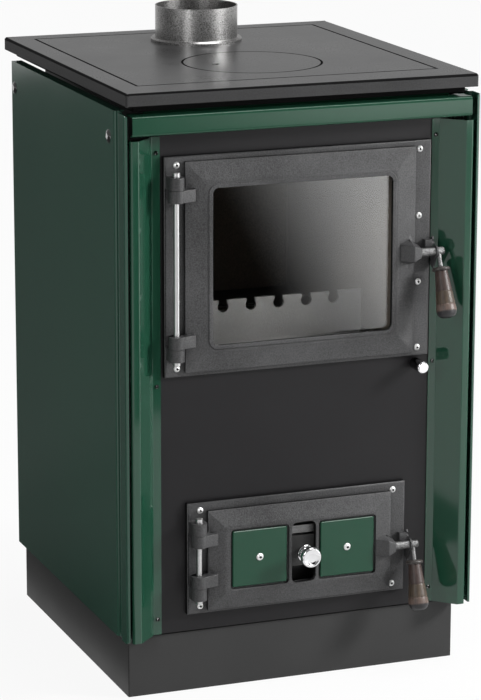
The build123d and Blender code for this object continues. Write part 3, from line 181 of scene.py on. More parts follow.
def finish(name, group, shades, rough, relief, metallic=0.0, mirror=0.5, spread=(0.3, 0.7), **sizes):
    """Material with colour and roughness between two values each over a skin, and a relief in metres."""
    material, tree, shader = plain_material(name)
    shader.inputs["Metallic"].default_value = metallic
    shader.inputs["Specular IOR Level"].default_value = mirror
    skin = tree.nodes.new("ShaderNodeGroup")
    skin.node_tree = group
    for size, value in sizes.items():
        skin.inputs[size.capitalize()].default_value = value
    ramp = tree.nodes.new("ShaderNodeValToRGB")
    for element, position, shade in zip(ramp.color_ramp.elements, spread, shades):
        element.position = position
        element.color = (*shade, 1.0)
    gloss = tree.nodes.new("ShaderNodeMapRange")
    gloss.inputs["From Min"].default_value, gloss.inputs["From Max"].default_value = spread
    gloss.inputs["To Min"].default_value, gloss.inputs["To Max"].default_value = rough
    bump = tree.nodes.new("ShaderNodeBump")
    bump.inputs["Distance"].default_value = relief
    tree.links.new(skin.outputs["Tone"], ramp.inputs["Fac"])
    tree.links.new(skin.outputs["Tone"], gloss.inputs["Value"])
    tree.links.new(skin.outputs["Height"], bump.inputs["Height"])
    tree.links.new(ramp.outputs["Color"], shader.inputs["Base Color"])
    tree.links.new(gloss.outputs["Result"], shader.inputs["Roughness"])
    tree.links.new(bump.outputs["Normal"], shader.inputs["Normal"])
    return material


plinth_paint = finish(
    "plinth_paint", paint_skin, ((0.026, 0.026, 0.026), (0.036, 0.036, 0.036)), (0.5, 0.6), 0.00035,
    mirror=0.3, cloud=5.0, peel=900.0
)
eased("plinth", plinth_paint, 0.0016)

# Welded inner body: floor, side and rear walls, shelf and brackets of plain sheet steel, with a rear cover
# that has air slots. All are sprayed in a thin dark heat resistant paint.
sheet_paint = finish(
    "sheet_paint", paint_skin, ((0.03, 0.03, 0.031), (0.042, 0.042, 0.043)), (0.5, 0.62), 0.0003,
    mirror=0.3, cloud=9.0, peel=600.0
)
for node in (
    "body_floor", "inner_wall_left", "inner_wall_right", "rear_wall", "rear_cover", "panel_brackets",
    "ash_shelf",
):
    eased(node, sheet_paint)

# Firebox lining: side and rear firebricks and a baffle above them, cut from pressed brown fire clay board and
# only stood in place. The surface is sandy, with dark blotches of soot.

# Skin of pressed clay and of sand castings: broad blotches in the tone and a fine grain in relief.
casting_skin, sizes, results = shader_group(
    "casting_skin", {"Blotch": 12.0, "Grain": 600.0}, ["Tone", "Height"]
)
place = casting_skin.nodes.new("ShaderNodeTexCoord").outputs["Object"]
blotch = noise(casting_skin, place, 3.0, 0.6)
grain = noise(casting_skin, place, 3.0, 0.65)
casting_skin.links.new(sizes.outputs["Blotch"], blotch.inputs["Scale"])
casting_skin.links.new(sizes.outputs["Grain"], grain.inputs["Scale"])
tone = blended(casting_skin, 0.6, blotch.outputs["Fac"], grain.outputs["Fac"])
casting_skin.links.new(tone, results.inputs["Tone"])
casting_skin.links.new(grain.outputs["Fac"], results.inputs["Height"])

fire_clay = finish(
    "fire_clay", casting_skin, ((0.05, 0.042, 0.035), (0.13, 0.105, 0.082)), (0.85, 0.95), 0.0006,
    blotch=7.0, grain=350.0
)
for node in ("firebrick_left", "firebrick_right", "firebrick_rear", "baffle"):
    eased(node, fire_clay, 0.002)

# Grate bed, shaker grate and log guard: rough grey iron castings that are laid in the firebox without screws.
# The grate slides in the bed with the rod that pulls it, and the guard stands behind the door.
grate_iron = finish(
    "grate_iron", casting_skin, ((0.042, 0.041, 0.04), (0.072, 0.07, 0.068)), (0.6, 0.72), 0.0004,
    blotch=14.0, grain=450.0
)
eased("grate_bed", grate_iron, 0.0012)
eased("shaker_grate", grate_iron, 0.0008)
eased("log_guard", grate_iron)

# Ash pan: a folded tray of zinc coated sheet with a finger grip.
# It stands loose on its shelf and is drawn out through the ash door.

# Skin of a zinc coating: spangles and specks in the tone, and the specks in relief.
zinc_skin, sizes, results = shader_group(
    "zinc_skin", {"Spangle": 160.0, "Speck": 500.0}, ["Tone", "Height"]
)
place = zinc_skin.nodes.new("ShaderNodeTexCoord").outputs["Object"]
spangle = zinc_skin.nodes.new("ShaderNodeTexVoronoi")
spangle.feature = "SMOOTH_F1"
zinc_skin.links.new(place, spangle.inputs["Vector"])
speck = noise(zinc_skin, place, 3.0, 0.6)
zinc_skin.links.new(sizes.outputs["Spangle"], spangle.inputs["Scale"])
zinc_skin.links.new(sizes.outputs["Speck"], speck.inputs["Scale"])
tone = blended(zinc_skin, 0.55, spangle.outputs["Distance"], speck.outputs["Fac"])
zinc_skin.links.new(tone, results.inputs["Tone"])
zinc_skin.links.new(speck.outputs["Fac"], results.inputs["Height"])

pan_zinc = finish(
    "pan_zinc", zinc_skin, ((0.3, 0.3, 0.31), (0.46, 0.46, 0.47)), (0.32, 0.5), 0.0002,
    metallic=1.0, spangle=90.0
)
eased("ash_pan", pan_zinc)

# Front plate: one flat steel sheet behind both doors, set back between the trims.
# It carries the door frames and is sprayed in satin black.
front_black = finish(
    "front_black", paint_skin, ((0.007, 0.0065, 0.0075), (0.011, 0.0105, 0.0115)), (0.38, 0.46), 0.0002,
    mirror=0.24, cloud=4.0, peel=800.0
)
eased("front_plate", front_black)

# Front trims and header rail: folded sheet steel with a high gloss green enamel that mirrors the doors.
# The trims are screwed on the front plate, and the rail hangs under the hob.
trim_enamel = finish(
    "trim_enamel", paint_skin, ((0.011, 0.052, 0.03), (0.013, 0.058, 0.034)), (0.05, 0.08), 0.00006,
    mirror=0.55, cloud=4.0, wave=9.0
)
rail_enamel = finish(
    "rail_enamel", paint_skin, ((0.01, 0.05, 0.028), (0.013, 0.058, 0.033)), (0.06, 0.1), 0.00006,
    mirror=0.32, cloud=4.0, wave=9.0
)
eased("front_trim_left", trim_enamel)
eased("front_trim_right", trim_enamel)
eased("header_rail", rail_enamel)

# Side panels: large steel sheets with folded edges and a pressed groove near the front, in green enamel.
# They sit on brackets, and two screws hold each of them.
casing_enamel = finish(
    "casing_enamel", paint_skin, ((0.016, 0.055, 0.037), (0.019, 0.062, 0.041)), (0.1, 0.16), 0.00008,
    cloud=3.0, wave=7.0
)
for node in ("side_panel_left", "side_panel_right"):
    eased(node, casing_enamel)

# Screws of the casing: turned steel button heads with a socket, all of one pattern, in chrome whose colour is
# darkened for dark heads and painted shade. Small ones with a socket painted black as shade hold the trims on
# the front plate, and wide ones with a near white middle, a painted highlight, hold the side panels.


def geometry_tree(name, sizes):
    """Geometry node tree that takes points and named sizes and gives a shape."""
    tree = bpy.data.node_groups.new(name, "GeometryNodeTree")
    tree.interface.new_socket("Geometry", in_out="INPUT", socket_type="NodeSocketGeometry")
    tree.interface.new_socket("Material", in_out="INPUT", socket_type="NodeSocketMaterial")
    tree.interface.new_socket("Socket Material", in_out="INPUT", socket_type="NodeSocketMaterial")
    for size, value in sizes.items():
        socket = tree.interface.new_socket(size, in_out="INPUT", socket_type="NodeSocketFloat")
        socket.default_value = value
    tree.interface.new_socket("Geometry", in_out="OUTPUT", socket_type="NodeSocketGeometry")
    return tree, tree.nodes.new("NodeGroupInput"), tree.nodes.new("NodeGroupOutput")


def cone_band(tree, bottom, top, depth, base, corners=28):
    """Open band of a cone whose lower rim lies at the height base."""
    cone = tree.nodes.new("GeometryNodeMeshCone")
    cone.fill_type = "NONE"
    cone.inputs["Vertices"].default_value = corners
    tree.links.new(bottom, cone.inputs["Radius Bottom"])
    tree.links.new(top, cone.inputs["Radius Top"])
    tree.links.new(depth, cone.inputs["Depth"])
    lift = tree.nodes.new("GeometryNodeTransform")
    raised = tree.nodes.new("ShaderNodeCombineXYZ")
    tree.links.new(base, raised.inputs["Z"])
    tree.links.new(cone.outputs["Mesh"], lift.inputs["Geometry"])
    tree.links.new(raised.outputs["Vector"], lift.inputs["Translation"])
    return lift.outputs["Geometry"]


def worked_out(tree, operation, *values):
    """Result of a sum on values that are either numbers or other nodes' outputs."""
    node = tree.nodes.new("ShaderNodeMath")
    node.operation = operation
    for socket, value in zip(node.inputs, values):
        if isinstance(value, float):
            socket.default_value = value
        else:
            tree.links.new(value, socket)
    return node.outputs["Value"]


screw_tree, sizes, result = geometry_tree(
    "button_screws",
    {"Head Radius": 0.004, "Head Height": 0.0025, "Socket Radius": 0.0018, "Socket Depth": 0.0015},
)
radius, rise = sizes.outputs["Head Radius"], sizes.outputs["Head Height"]
socket, depth = sizes.outputs["Socket Radius"], sizes.outputs["Socket Depth"]
shoulder = worked_out(screw_tree, "MULTIPLY", radius, 0.86)
skirt_rise = worked_out(screw_tree, "MULTIPLY", rise, 0.55)
crown_rise = worked_out(screw_tree, "MULTIPLY", rise, 0.45)
nothing = worked_out(screw_tree, "MULTIPLY", rise, 0.0)
socket_base = worked_out(screw_tree, "SUBTRACT", rise, depth)
pit_tip = worked_out(screw_tree, "MULTIPLY", socket, 0.05)
pit_rise = worked_out(screw_tree, "MULTIPLY", rise, 0.02)
skirt = cone_band(screw_tree, radius, shoulder, skirt_rise, nothing)
crown = cone_band(screw_tree, shoulder, socket, crown_rise, skirt_rise)
wall = cone_band(screw_tree, socket, socket, depth, socket_base)
pit = cone_band(screw_tree, socket, pit_tip, pit_rise, socket_base)
turned_in = screw_tree.nodes.new("GeometryNodeFlipFaces")
screw_tree.links.new(wall, turned_in.inputs["Mesh"])
hollow = screw_tree.nodes.new("GeometryNodeJoinGeometry")
marked = screw_tree.nodes.new("GeometryNodeStoreNamedAttribute")
marked.data_type = "BOOLEAN"
marked.domain = "FACE"
marked.inputs["Name"].default_value = "hollow"
marked.inputs["Value"].default_value = True
for part in (turned_in.outputs["Mesh"], pit):
    screw_tree.links.new(part, hollow.inputs["Geometry"])
screw_tree.links.new(hollow.outputs["Geometry"], marked.inputs["Geometry"])
head = screw_tree.nodes.new("GeometryNodeJoinGeometry")
for part in (skirt, crown, marked.outputs["Geometry"]):
    screw_tree.links.new(part, head.inputs["Geometry"])
sealed = screw_tree.nodes.new("GeometryNodeMergeByDistance")
sealed.inputs["Distance"].default_value = 1e-5
screw_tree.links.new(head.outputs["Geometry"], sealed.inputs["Geometry"])
facing = screw_tree.nodes.new("GeometryNodeInputNamedAttribute")
facing.data_type = "FLOAT_VECTOR"
facing.inputs["Name"].default_value = "facing"
turn = screw_tree.nodes.new("FunctionNodeAlignRotationToVector")
turn.axis = "Z"
screw_tree.links.new(facing.outputs["Attribute"], turn.inputs["Vector"])
spread_out = screw_tree.nodes.new("GeometryNodeInstanceOnPoints")
screw_tree.links.new(sizes.outputs["Geometry"], spread_out.inputs["Points"])
screw_tree.links.new(sealed.outputs["Geometry"], spread_out.inputs["Instance"])
screw_tree.links.new(turn.outputs["Rotation"], spread_out.inputs["Rotation"])
real = screw_tree.nodes.new("GeometryNodeRealizeInstances")
coated = screw_tree.nodes.new("GeometryNodeSetMaterial")
screw_tree.links.new(spread_out.outputs["Instances"], real.inputs["Geometry"])
screw_tree.links.new(real.outputs["Geometry"], coated.inputs["Geometry"])
screw_tree.links.new(sizes.outputs["Material"], coated.inputs["Material"])
inside = screw_tree.nodes.new("GeometryNodeInputNamedAttribute")
inside.data_type = "BOOLEAN"
inside.inputs["Name"].default_value = "hollow"
darkened = screw_tree.nodes.new("GeometryNodeSetMaterial")
screw_tree.links.new(inside.outputs["Attribute"], darkened.inputs["Selection"])
screw_tree.links.new(sizes.outputs["Socket Material"], darkened.inputs["Material"])
screw_tree.links.new(coated.outputs["Geometry"], darkened.inputs["Geometry"])
screw_tree.links.new(darkened.outputs["Geometry"], result.inputs["Geometry"])


def set_size(modifier, socket, value):
    """Sets a geometry modifier's input by the identifier behind its name."""
    for item in modifier.node_group.interface.items_tree:
        if item.in_out == "INPUT" and item.name == socket:
            modifier[item.identifier] = value


def loose_boxes(node):
    """Lowest and highest corner of each separate solid in a node."""
    form = welded(node)
    waiting = set(form.verts)
    boxes = []
    while waiting:
        found = [waiting.pop()]
        for vertex in found:
            for seam in vertex.link_edges:
                other = seam.other_vert(vertex)
                if other in waiting:
                    waiting.discard(other)
                    found.append(other)
        along = list(zip(*(vertex.co for vertex in found)))
        boxes.append([Vector([pick(values) for values in along]) for pick in (min, max)])
    form.free()
    return boxes


def screws(node, facing, material, centre, **sizes):
    """Screw heads where the node's plain ones sit, facing along X or Y away from the body."""
    mesh = bpy.data.meshes.new(node + "_heads")
    seats = []
    facings = []
    for low, high in loose_boxes(node):
        middle = (low + high) / 2
        outward = Vector((1, 0, 0)) if facing == "side" else Vector((0, -1, 0))
        if facing == "side" and middle.x < 0:
            outward = -outward
        reach = abs((high - low).dot(outward)) / 2 - sizes["head_height"]
        seats.append(middle + outward * reach)
        facings.append(outward)
    mesh.from_pydata(seats, [], [])
    directions = mesh.attributes.new("facing", "FLOAT_VECTOR", "POINT")
    for entry, direction in zip(directions.data, facings):
        entry.vector = direction
    piece = placed(node + "_heads", mesh)
    modifier = piece.modifiers.new("heads", "NODES")
    modifier.node_group = screw_tree
    set_size(modifier, "Material", material)
    set_size(modifier, "Socket Material", centre)
    for size, value in sizes.items():
        set_size(modifier, size.replace("_", " ").title(), value)
    settled(piece)
    for face in piece.data.polygons:
        face.use_smooth = True
    piece.data.set_sharp_from_angle(angle=radians(40))
    return stands_for(piece, node)


# Near white zinc with a matt share, so the heads read white under any light: partly a painted highlight. It
# is also the painted highlight in the middle of the panel screws.
zinc_and_glint = finish(
    "zinc_and_glint", zinc_skin, ((0.84, 0.84, 0.83), (0.92, 0.92, 0.91)), (0.3, 0.42), 0.00003,
    metallic=0.6, spangle=400.0
)
# Black for the inside of the sockets: painted shade in the recess.
socket_shade_black = finish(
    "socket_shade_black", casting_skin, ((0.01, 0.01, 0.01), (0.03, 0.03, 0.03)), (0.6, 0.75), 0.00005, mirror=0.2
)
# Chrome with its colour darkened: dark screw heads, and painted shade and dark reflection on the shaker
# knob's side.
dark_and_shaded_chrome = finish(
    "dark_and_shaded_chrome_skin", paint_skin, ((0.14, 0.14, 0.14), (0.2, 0.2, 0.2)), (0.08, 0.14), 0.00002,
    metallic=1.0, cloud=60.0
)
screws("trim_screws", "front", dark_and_shaded_chrome, socket_shade_black,
       head_radius=0.003, head_height=0.0022, socket_radius=0.0013, socket_depth=0.0012)
screws("panel_screws", "side", dark_and_shaded_chrome, zinc_and_glint,
       head_radius=0.0095, head_height=0.0025, socket_radius=0.0038, socket_depth=0.0006)

# Hob: a thick cast iron frame that carries an inset hotplate with a round lift-out lid. The tops are ground
# to a grey sheen with soft smudges and the upright rim keeps a black casting skin, while the chamfers, the
# undersides and the walls of the gaps are painted near black as painted shade.
hob_iron = finish(
    "hob_iron", casting_skin, ((0.013, 0.013, 0.0135), (0.054, 0.054, 0.055)), (0.25, 0.38), 0.0001,
    spread=(0.36, 0.64), blotch=11.0, grain=420.0
)
# Near black casting skin as painted shade: the hob's chamfers, undersides and gap walls take it, and so do
# the narrow sides of the door castings.
painted_shade_black = finish(
    "painted_shade_black", casting_skin, ((0.003, 0.003, 0.0031), (0.009, 0.009, 0.0093)), (0.6, 0.75), 0.0002,
    mirror=0.05, blotch=9.0, grain=520.0
)
skirt_black = finish(
    "skirt_black", casting_skin, ((0.026, 0.026, 0.0265), (0.055, 0.055, 0.056)), (0.5, 0.62), 0.0003,
    mirror=0.25, blotch=9.0, grain=520.0
)
hob_underside = 0.832
level, upright = 0.95, 0.1
hob_plates = []
# Every face but the ground tops and the upright rim of the frame takes the painted shade.
for node in ("hob_frame", "hotplate", "hotplate_lid"):
    plate = eased(node, painted_shade_black, 0.0012, 0.002)
    hob_plates.append(plate)
    plate.data.materials.append(hob_iron)
    plate.data.materials.append(skirt_black)
    for face in plate.data.polygons:
        if face.normal.z > level:
            face.material_index = 1
        elif node == "hob_frame" and abs(face.normal.z) < upright and face.center.z > hob_underside:
            face.material_index = 2

# Flue collar: a short cast tube on a flanged foot that takes the stove pipe and stands on the hob.
# It is turned and zinc coated, and its skin is mottled like hammered metal.

# Skin of turned metal: a fine mottle in the tone, with faint lines round the tube in relief.
turned_skin, sizes, results = shader_group(
    "turned_skin", {"Mottle": 260.0, "Lines": 2.0}, ["Tone", "Height"]
)
place = turned_skin.nodes.new("ShaderNodeTexCoord").outputs["Object"]
mottle = noise(turned_skin, place, 3.0, 0.7)
drawn_out = turned_skin.nodes.new("ShaderNodeMapping")
drawn_out.inputs["Scale"].default_value = (60.0, 60.0, 400.0)
turned_skin.links.new(place, drawn_out.inputs["Vector"])
lines = noise(turned_skin, drawn_out.outputs["Vector"], 2.0, 0.5)
turned_skin.links.new(sizes.outputs["Mottle"], mottle.inputs["Scale"])
turned_skin.links.new(sizes.outputs["Lines"], lines.inputs["Scale"])
turned_skin.links.new(mottle.outputs["Fac"], results.inputs["Tone"])
height = blended(turned_skin, 0.3, lines.outputs["Fac"], mottle.outputs["Fac"])
turned_skin.links.new(height, results.inputs["Height"])
flue_zinc = finish(
    "flue_zinc", turned_skin, ((0.12, 0.118, 0.115), (0.5, 0.495, 0.49)), (0.27, 0.38), 0.00006,
    metallic=1.0, spread=(0.34, 0.66), mottle=640.0
)
eased("flue_collar", flue_zinc)

# Door frames: flat iron castings screwed on the front plate, with knuckles for the hinge and a pad with the
# keeper pin for the latch. The skin is dark and fine grained.
cast_black = finish(
    "cast_black", casting_skin, ((0.009, 0.009, 0.0095), (0.068, 0.068, 0.07)), (0.42, 0.56), 0.0004,
    mirror=0.45, spread=(0.36, 0.66), blotch=9.0, grain=520.0
)


def shade_painted_sides(piece, face_plane):
    """Gives the narrow sides behind a casting's face a near black colour as painted shade."""
    sideways = 0.3
    piece.data.materials.append(painted_shade_black)
    for face in piece.data.polygons:
        if abs(face.normal.y) < sideways and face.center.y > face_plane:
            face.material_index = 1


# The frames' narrow sides are painted near black as shade.
frame_face = -0.2535
for node in ("fire_door_frame", "ash_door_frame"):
    shade_painted_sides(eased(node, cast_black, 0.0007), frame_face)

# Frame screws: zinc coated steel button heads, their white partly a painted highlight, with a socket painted
# black as shade, along both sides of each frame.
# They hold the frame on the front plate.
for node in ("fire_frame_screws", "ash_frame_screws"):
    screws(node, "front", zinc_and_glint, socket_shade_black,
           head_radius=0.0046, head_height=0.0025, socket_radius=0.0017, socket_depth=0.0018)

# Hinge rods: bright drawn steel rods with a round nut at each end.
# They go through the knuckles of frame and leaf, and the door swings on them.
drawn_steel = finish(
    "drawn_steel", paint_skin, ((0.5, 0.5, 0.5), (0.58, 0.58, 0.58)), (0.28, 0.34), 0.000004,
    metallic=1.0, cloud=60.0
)
for node in ("fire_hinge_rod", "ash_hinge_rod"):
    eased(node, drawn_steel)

# Door leaves: iron castings with a sloping border, hinge straps and a hooded boss for the latch.
# They have the same dark and fine grained skin as their frames.
# The leaves' narrow sides are painted near black as shade.
leaf_face = -0.264
for node in ("fire_door_leaf", "ash_door_leaf"):
    shade_painted_sides(eased(node, cast_black, 0.0009), leaf_face)

# Fire door glass: a clear ceramic pane in a rope seal, held by steel clips behind the leaf.
# The gaskets of both doors are woven rope too, laid in a groove.
pane, tree, shader = plain_material("clear_pane")
shader.inputs["Base Color"].default_value = (0.96, 0.97, 0.96, 1.0)
shader.inputs["Roughness"].default_value = 0.0
shader.inputs["IOR"].default_value = 1.5
shader.inputs["Transmission Weight"].default_value = 1.0
clear = tree.nodes.new("ShaderNodeBsdfTransparent")
rays = tree.nodes.new("ShaderNodeLightPath")
either = tree.nodes.new("ShaderNodeMixShader")
tree.links.new(rays.outputs["Is Shadow Ray"], either.inputs["Fac"])
tree.links.new(shader.outputs["BSDF"], either.inputs[1])
tree.links.new(clear.outputs["BSDF"], either.inputs[2])
tree.links.new(either.outputs["Shader"], tree.nodes["Material Output"].inputs["Surface"])
painted(frame["nodes"]["fire_door_glass"], pane)
rope = finish(
    "seal_rope", casting_skin, ((0.03, 0.03, 0.03), (0.09, 0.09, 0.088)), (0.85, 0.95), 0.0012, grain=420.0
)
for node in ("glass_seal", "fire_door_gasket", "ash_door_gasket"):
    eased(node, rope)
bright_steel = finish(
    "bright_steel", zinc_skin, ((0.66, 0.66, 0.66), (0.82, 0.82, 0.82)), (0.2, 0.32), 0.00005,
    metallic=1.0, spangle=400.0
)
eased("glass_clips", bright_steel)

# Ash door tiles: two small steel plates in recesses of the leaf, in the same green enamel as the rail.
# Each is held by one screw in its middle.
for node in ("ash_tile_left", "ash_tile_right"):
    eased(node, rail_enamel)
# Their heads are near white zinc, partly a painted highlight, with a socket painted black as shade.
screws("tile_screws", "front", zinc_and_glint, socket_shade_black,
       head_radius=0.0052, head_height=0.0025, socket_radius=0.002, socket_depth=0.0018)

# Air slide: a steel plate between two guides behind the leaf, blackened by heat and painted darker still as
# shade, with a turned chrome knob that moves it up and down in the slot.


def turned(name, profile, foot, axis, material, turns=48):
    """Piece turned on a lathe: radii at distances along an axis. Points keep their place on the lathe."""
    upright = Vector((0, 0, 1)).rotation_difference(axis).to_matrix()
    length = profile[-1][1] - profile[0][1]
    corners = []
    lathe = []
    for radius, way in profile:
        for step in range(turns):
            angle = 2 * pi * step / turns
            spot = Vector((radius * cos(angle), radius * sin(angle), way))
            corners.append(foot + upright @ spot)
            lathe.append((*spot.xy, (way - profile[0][1]) / length))
    faces = []
    for ring in range(len(profile) - 1):
        for step in range(turns):
            low, following = ring * turns + step, ring * turns + (step + 1) % turns
            faces.append((low, following, following + turns, low + turns))
    faces += [tuple(reversed(range(turns))), tuple(range(len(corners) - turns, len(corners)))]
    mesh = bpy.data.meshes.new(name)
    mesh.from_pydata(corners, [], faces)
    places = mesh.attributes.new("lathe", "FLOAT_VECTOR", "POINT")
    for entry, spot in zip(places.data, lathe):
        entry.vector = spot
    for face in mesh.polygons:
        face.use_smooth = True
    mesh.set_sharp_from_angle(angle=radians(38))
    return painted(placed(name, mesh), material)


# Darker than heat alone would make it: painted shade behind the leaf.
slide_steel = finish(
    "slide_steel", casting_skin, ((0.012, 0.012, 0.012), (0.03, 0.03, 0.03)), (0.5, 0.65), 0.0002,
    mirror=0.3
)
eased("air_slide_plate", slide_steel)
guide_steel = finish(
    "guide_steel", casting_skin, ((0.1, 0.1, 0.1), (0.26, 0.26, 0.26)), (0.35, 0.5), 0.0001,
    metallic=0.8, blotch=40.0
)
eased("air_slide_guides", guide_steel)
chrome = finish(
    "chrome_plate", paint_skin, ((0.74, 0.74, 0.75), (0.8, 0.8, 0.81)), (0.05, 0.09), 0.00001,
    metallic=1.0, cloud=40.0
)
low, high = loose_boxes("air_slide_knob")[0]
knob_foot = Vector(((low.x + high.x) / 2, high.y, (low.z + high.z) / 2))
knob_stem = ((5.4, 0), (5.4, 13.4))
knob_collar = ((11.6, 13.7), (12.4, 14.5), (12.4, 17.9), (11.8, 18.6))
knob_waist = ((8.2, 19.1), (7.4, 20.0), (7.4, 26.4), (8.4, 27.8))
knob_head = ((11.0, 29.4), (13.8, 30.6), (14.5, 31.6), (14.7, 32.8), (14.7, 36.0), (14.3, 37.8), (13.3, 39.0))
knob_cup = ((12.1, 39.6), (11.0, 39.4), (10.2, 38.9), (6.0, 38.6), (0.4, 38.5))
knob_shape = knob_stem + knob_collar + knob_waist + knob_head + knob_cup
knob_profile = [(radius / 1000, way / 1000) for radius, way in knob_shape]
outward = Vector((0, -1, 0))
stands_for(turned("air_knob_turned", knob_profile, knob_foot, outward, chrome), "air_slide_knob")

# Shaker knob: a plain barrel of chromed steel, screwed on the steel rod that pulls the grate.
# Its end is bright chrome, and its side is chrome with a darkened colour, painted shade and dark reflection.
knob = eased("shaker_knob", dark_and_shaded_chrome, 0.0005, 0.0)
knob.data.materials.append(chrome)
turned_forward = -0.5
for face in knob.data.polygons:
    if face.normal.y < turned_forward:
        face.material_index = 1
eased("shaker_rod", bright_steel)

# Latches: a bare steel shaft in the boss of each leaf, with a hanging rod for the grip and a flat black hook
# that goes behind the frame's keeper pin.
latch_steel = finish(
    "latch_steel", casting_skin, ((0.06, 0.06, 0.06), (0.27, 0.27, 0.27)), (0.34, 0.5), 0.0004,
    metallic=0.9, spread=(0.38, 0.62), blotch=60.0, grain=520.0
)
for door in ("fire", "ash"):
    eased(door + "_latch_shaft", latch_steel)
    eased(door + "_grip_rod", latch_steel)
    eased(door + "_latch_hook", cast_black)

# Grips: turned handles of oiled hardwood with two scribed rings, a lighter belly that is worn and carries a
# painted highlight, and a dark end.
# A wooden collar sits on top, and a steel rod that hangs from the latch goes through both.


def wood(name, shades):
    """Oiled hardwood: bands of colour along the lathe axis, with a grain that is drawn out along it."""
    material, tree, shader = plain_material(name)
    shader.inputs["Specular IOR Level"].default_value = 0.4
    shader.inputs["Roughness"].default_value = 0.42
    lathe = tree.nodes.new("ShaderNodeAttribute")
    lathe.attribute_name = "lathe"
    split = tree.nodes.new("ShaderNodeSeparateXYZ")
    tree.links.new(lathe.outputs["Vector"], split.inputs["Vector"])
    stretch = tree.nodes.new("ShaderNodeMapping")
    stretch.inputs["Scale"].default_value = (420.0, 420.0, 4.0)
    tree.links.new(lathe.outputs["Vector"], stretch.inputs["Vector"])
    fibre = noise(tree, stretch.outputs["Vector"], 3.0, 0.6)
    fibre.inputs["Scale"].default_value = 1.0
    ramp = tree.nodes.new("ShaderNodeValToRGB")
    for _ in shades[2:]:
        ramp.color_ramp.elements.new(0.5)
    for element, (way, shade) in zip(ramp.color_ramp.elements, shades):
        element.position = way
        element.color = (*shade, 1.0)
    tree.links.new(split.outputs["Z"], ramp.inputs["Fac"])
    depth = tree.nodes.new("ShaderNodeMapRange")
    depth.inputs["From Min"].default_value, depth.inputs["From Max"].default_value = 0.3, 0.7
    depth.inputs["To Min"].default_value, depth.inputs["To Max"].default_value = 0.55, 1.45
    tree.links.new(fibre.outputs["Fac"], depth.inputs["Value"])
    tint = tree.nodes.new("ShaderNodeVectorMath")
    tint.operation = "SCALE"
    tree.links.new(ramp.outputs["Color"], tint.inputs[0])
    tree.links.new(depth.outputs["Result"], tint.inputs["Scale"])
    tree.links.new(tint.outputs["Vector"], shader.inputs["Base Color"])
    bump = tree.nodes.new("ShaderNodeBump")
    bump.inputs["Distance"].default_value = 0.0003
    tree.links.new(fibre.outputs["Fac"], bump.inputs["Height"])
    tree.links.new(bump.outputs["Normal"], shader.inputs["Normal"])
    return material


brown, olive = (0.046, 0.03, 0.026), (0.056, 0.04, 0.027)
# The light band low on the belly is wear together with a painted highlight.
worn_and_lit, dark = (0.1, 0.07, 0.058), (0.018, 0.0175, 0.019)
grip_wood = wood(
    "grip_wood",
    ((0.0, brown), (0.41, brown), (0.45, olive), (0.69, olive), (0.74, worn_and_lit), (0.84, worn_and_lit), (0.88, dark)),
)
collar_wood = wood("collar_wood", ((0.0, (0.05, 0.044, 0.04)), (1.0, (0.035, 0.03, 0.028))))
grip_stations = (
    (0.0, 0.6), (0.2, 0.69), (0.41, 0.785), (0.6, 0.875), (0.76, 0.96), (0.85, 0.985), (0.9, 0.94),
    (0.95, 0.83), (0.985, 0.66), (1.0, 0.5),
)
grip_start, grip_end, grip_belly = 0.0285, 0.0935, 0.0145
scribed, scribe_width, scribe_depth = (0.43, 0.715), 0.012, 0.0006
grip_profile = []
grip_steps = 80
for step in range(grip_steps + 1):
    way = step / grip_steps
    index = max(i for i, station in enumerate(grip_stations[:-1]) if station[0] <= way)
    (start, slim), (stop, full) = grip_stations[index], grip_stations[index + 1]
    radius = grip_belly * (slim + (full - slim) * (way - start) / (stop - start))
    radius -= scribe_depth * sum(exp(-((way - ring) / scribe_width) ** 2) for ring in scribed)
    grip_profile.append((radius, grip_start + way * (grip_end - grip_start)))
collar_shape = (
    (9.0, 23.0), (10.9, 23.4), (12.0, 24.6), (12.2, 25.7), (12.0, 26.9), (10.9, 28.1), (9.0, 28.5)
)
collar_profile = [(radius / 1000, way / 1000) for radius, way in collar_shape]
joints = {joint["name"]: joint for joint in frame["record"]["behaviour"]["joints"]}
for door, lean in (("fire", 21.0), ("ash", 16.5)):
    pivot = Vector(joints[door + "_latch_turn"]["pos_m"])
    hang = Vector((0, -sin(radians(lean)), -cos(radians(lean))))
    grip = turned(door + "_grip_turned", grip_profile, pivot, hang, grip_wood)
    collar = turned(door + "_collar_turned", collar_profile, pivot, hang, collar_wood)
    stands_for(grip, door + "_grip")
    stands_for(collar, door + "_grip_ferrule")

# Studio floor: a wide pale sheet under the stove that keeps its shadow.
# Seen by the camera, in gloss and through glass, it is almost white.


def sheet(name, corners):
    """Flat sheet of the studio between four corners."""
    mesh = bpy.data.meshes.new(name)
    mesh.from_pydata(corners, [], [(0, 1, 2, 3)])
    piece = placed(name, mesh)
    return piece


floor = sheet("studio_floor", [(-60, -60, 0), (60, -60, 0), (60, 60, 0), (-60, 60, 0)])
white_share = 0.92
floor_paint, tree, shader = plain_material("studio_floor")
shader.inputs["Base Color"].default_value = (0.62, 0.62, 0.62, 1.0)
shader.inputs["Roughness"].default_value = 1.0
shader.inputs["Specular IOR Level"].default_value = 0.0
white = tree.nodes.new("ShaderNodeEmission")
rays = tree.nodes.new("ShaderNodeLightPath")
seen = worked_out(tree, "MAXIMUM", rays.outputs["Is Camera Ray"], rays.outputs["Is Glossy Ray"])
through = worked_out(tree, "MAXIMUM", seen, rays.outputs["Is Transmission Ray"])
lifted = worked_out(tree, "MULTIPLY", through, white_share)
either = tree.nodes.new("ShaderNodeMixShader")
tree.links.new(lifted, either.inputs["Fac"])
tree.links.new(shader.outputs["BSDF"], either.inputs[1])
tree.links.new(white.outputs["Emission"], either.inputs[2])
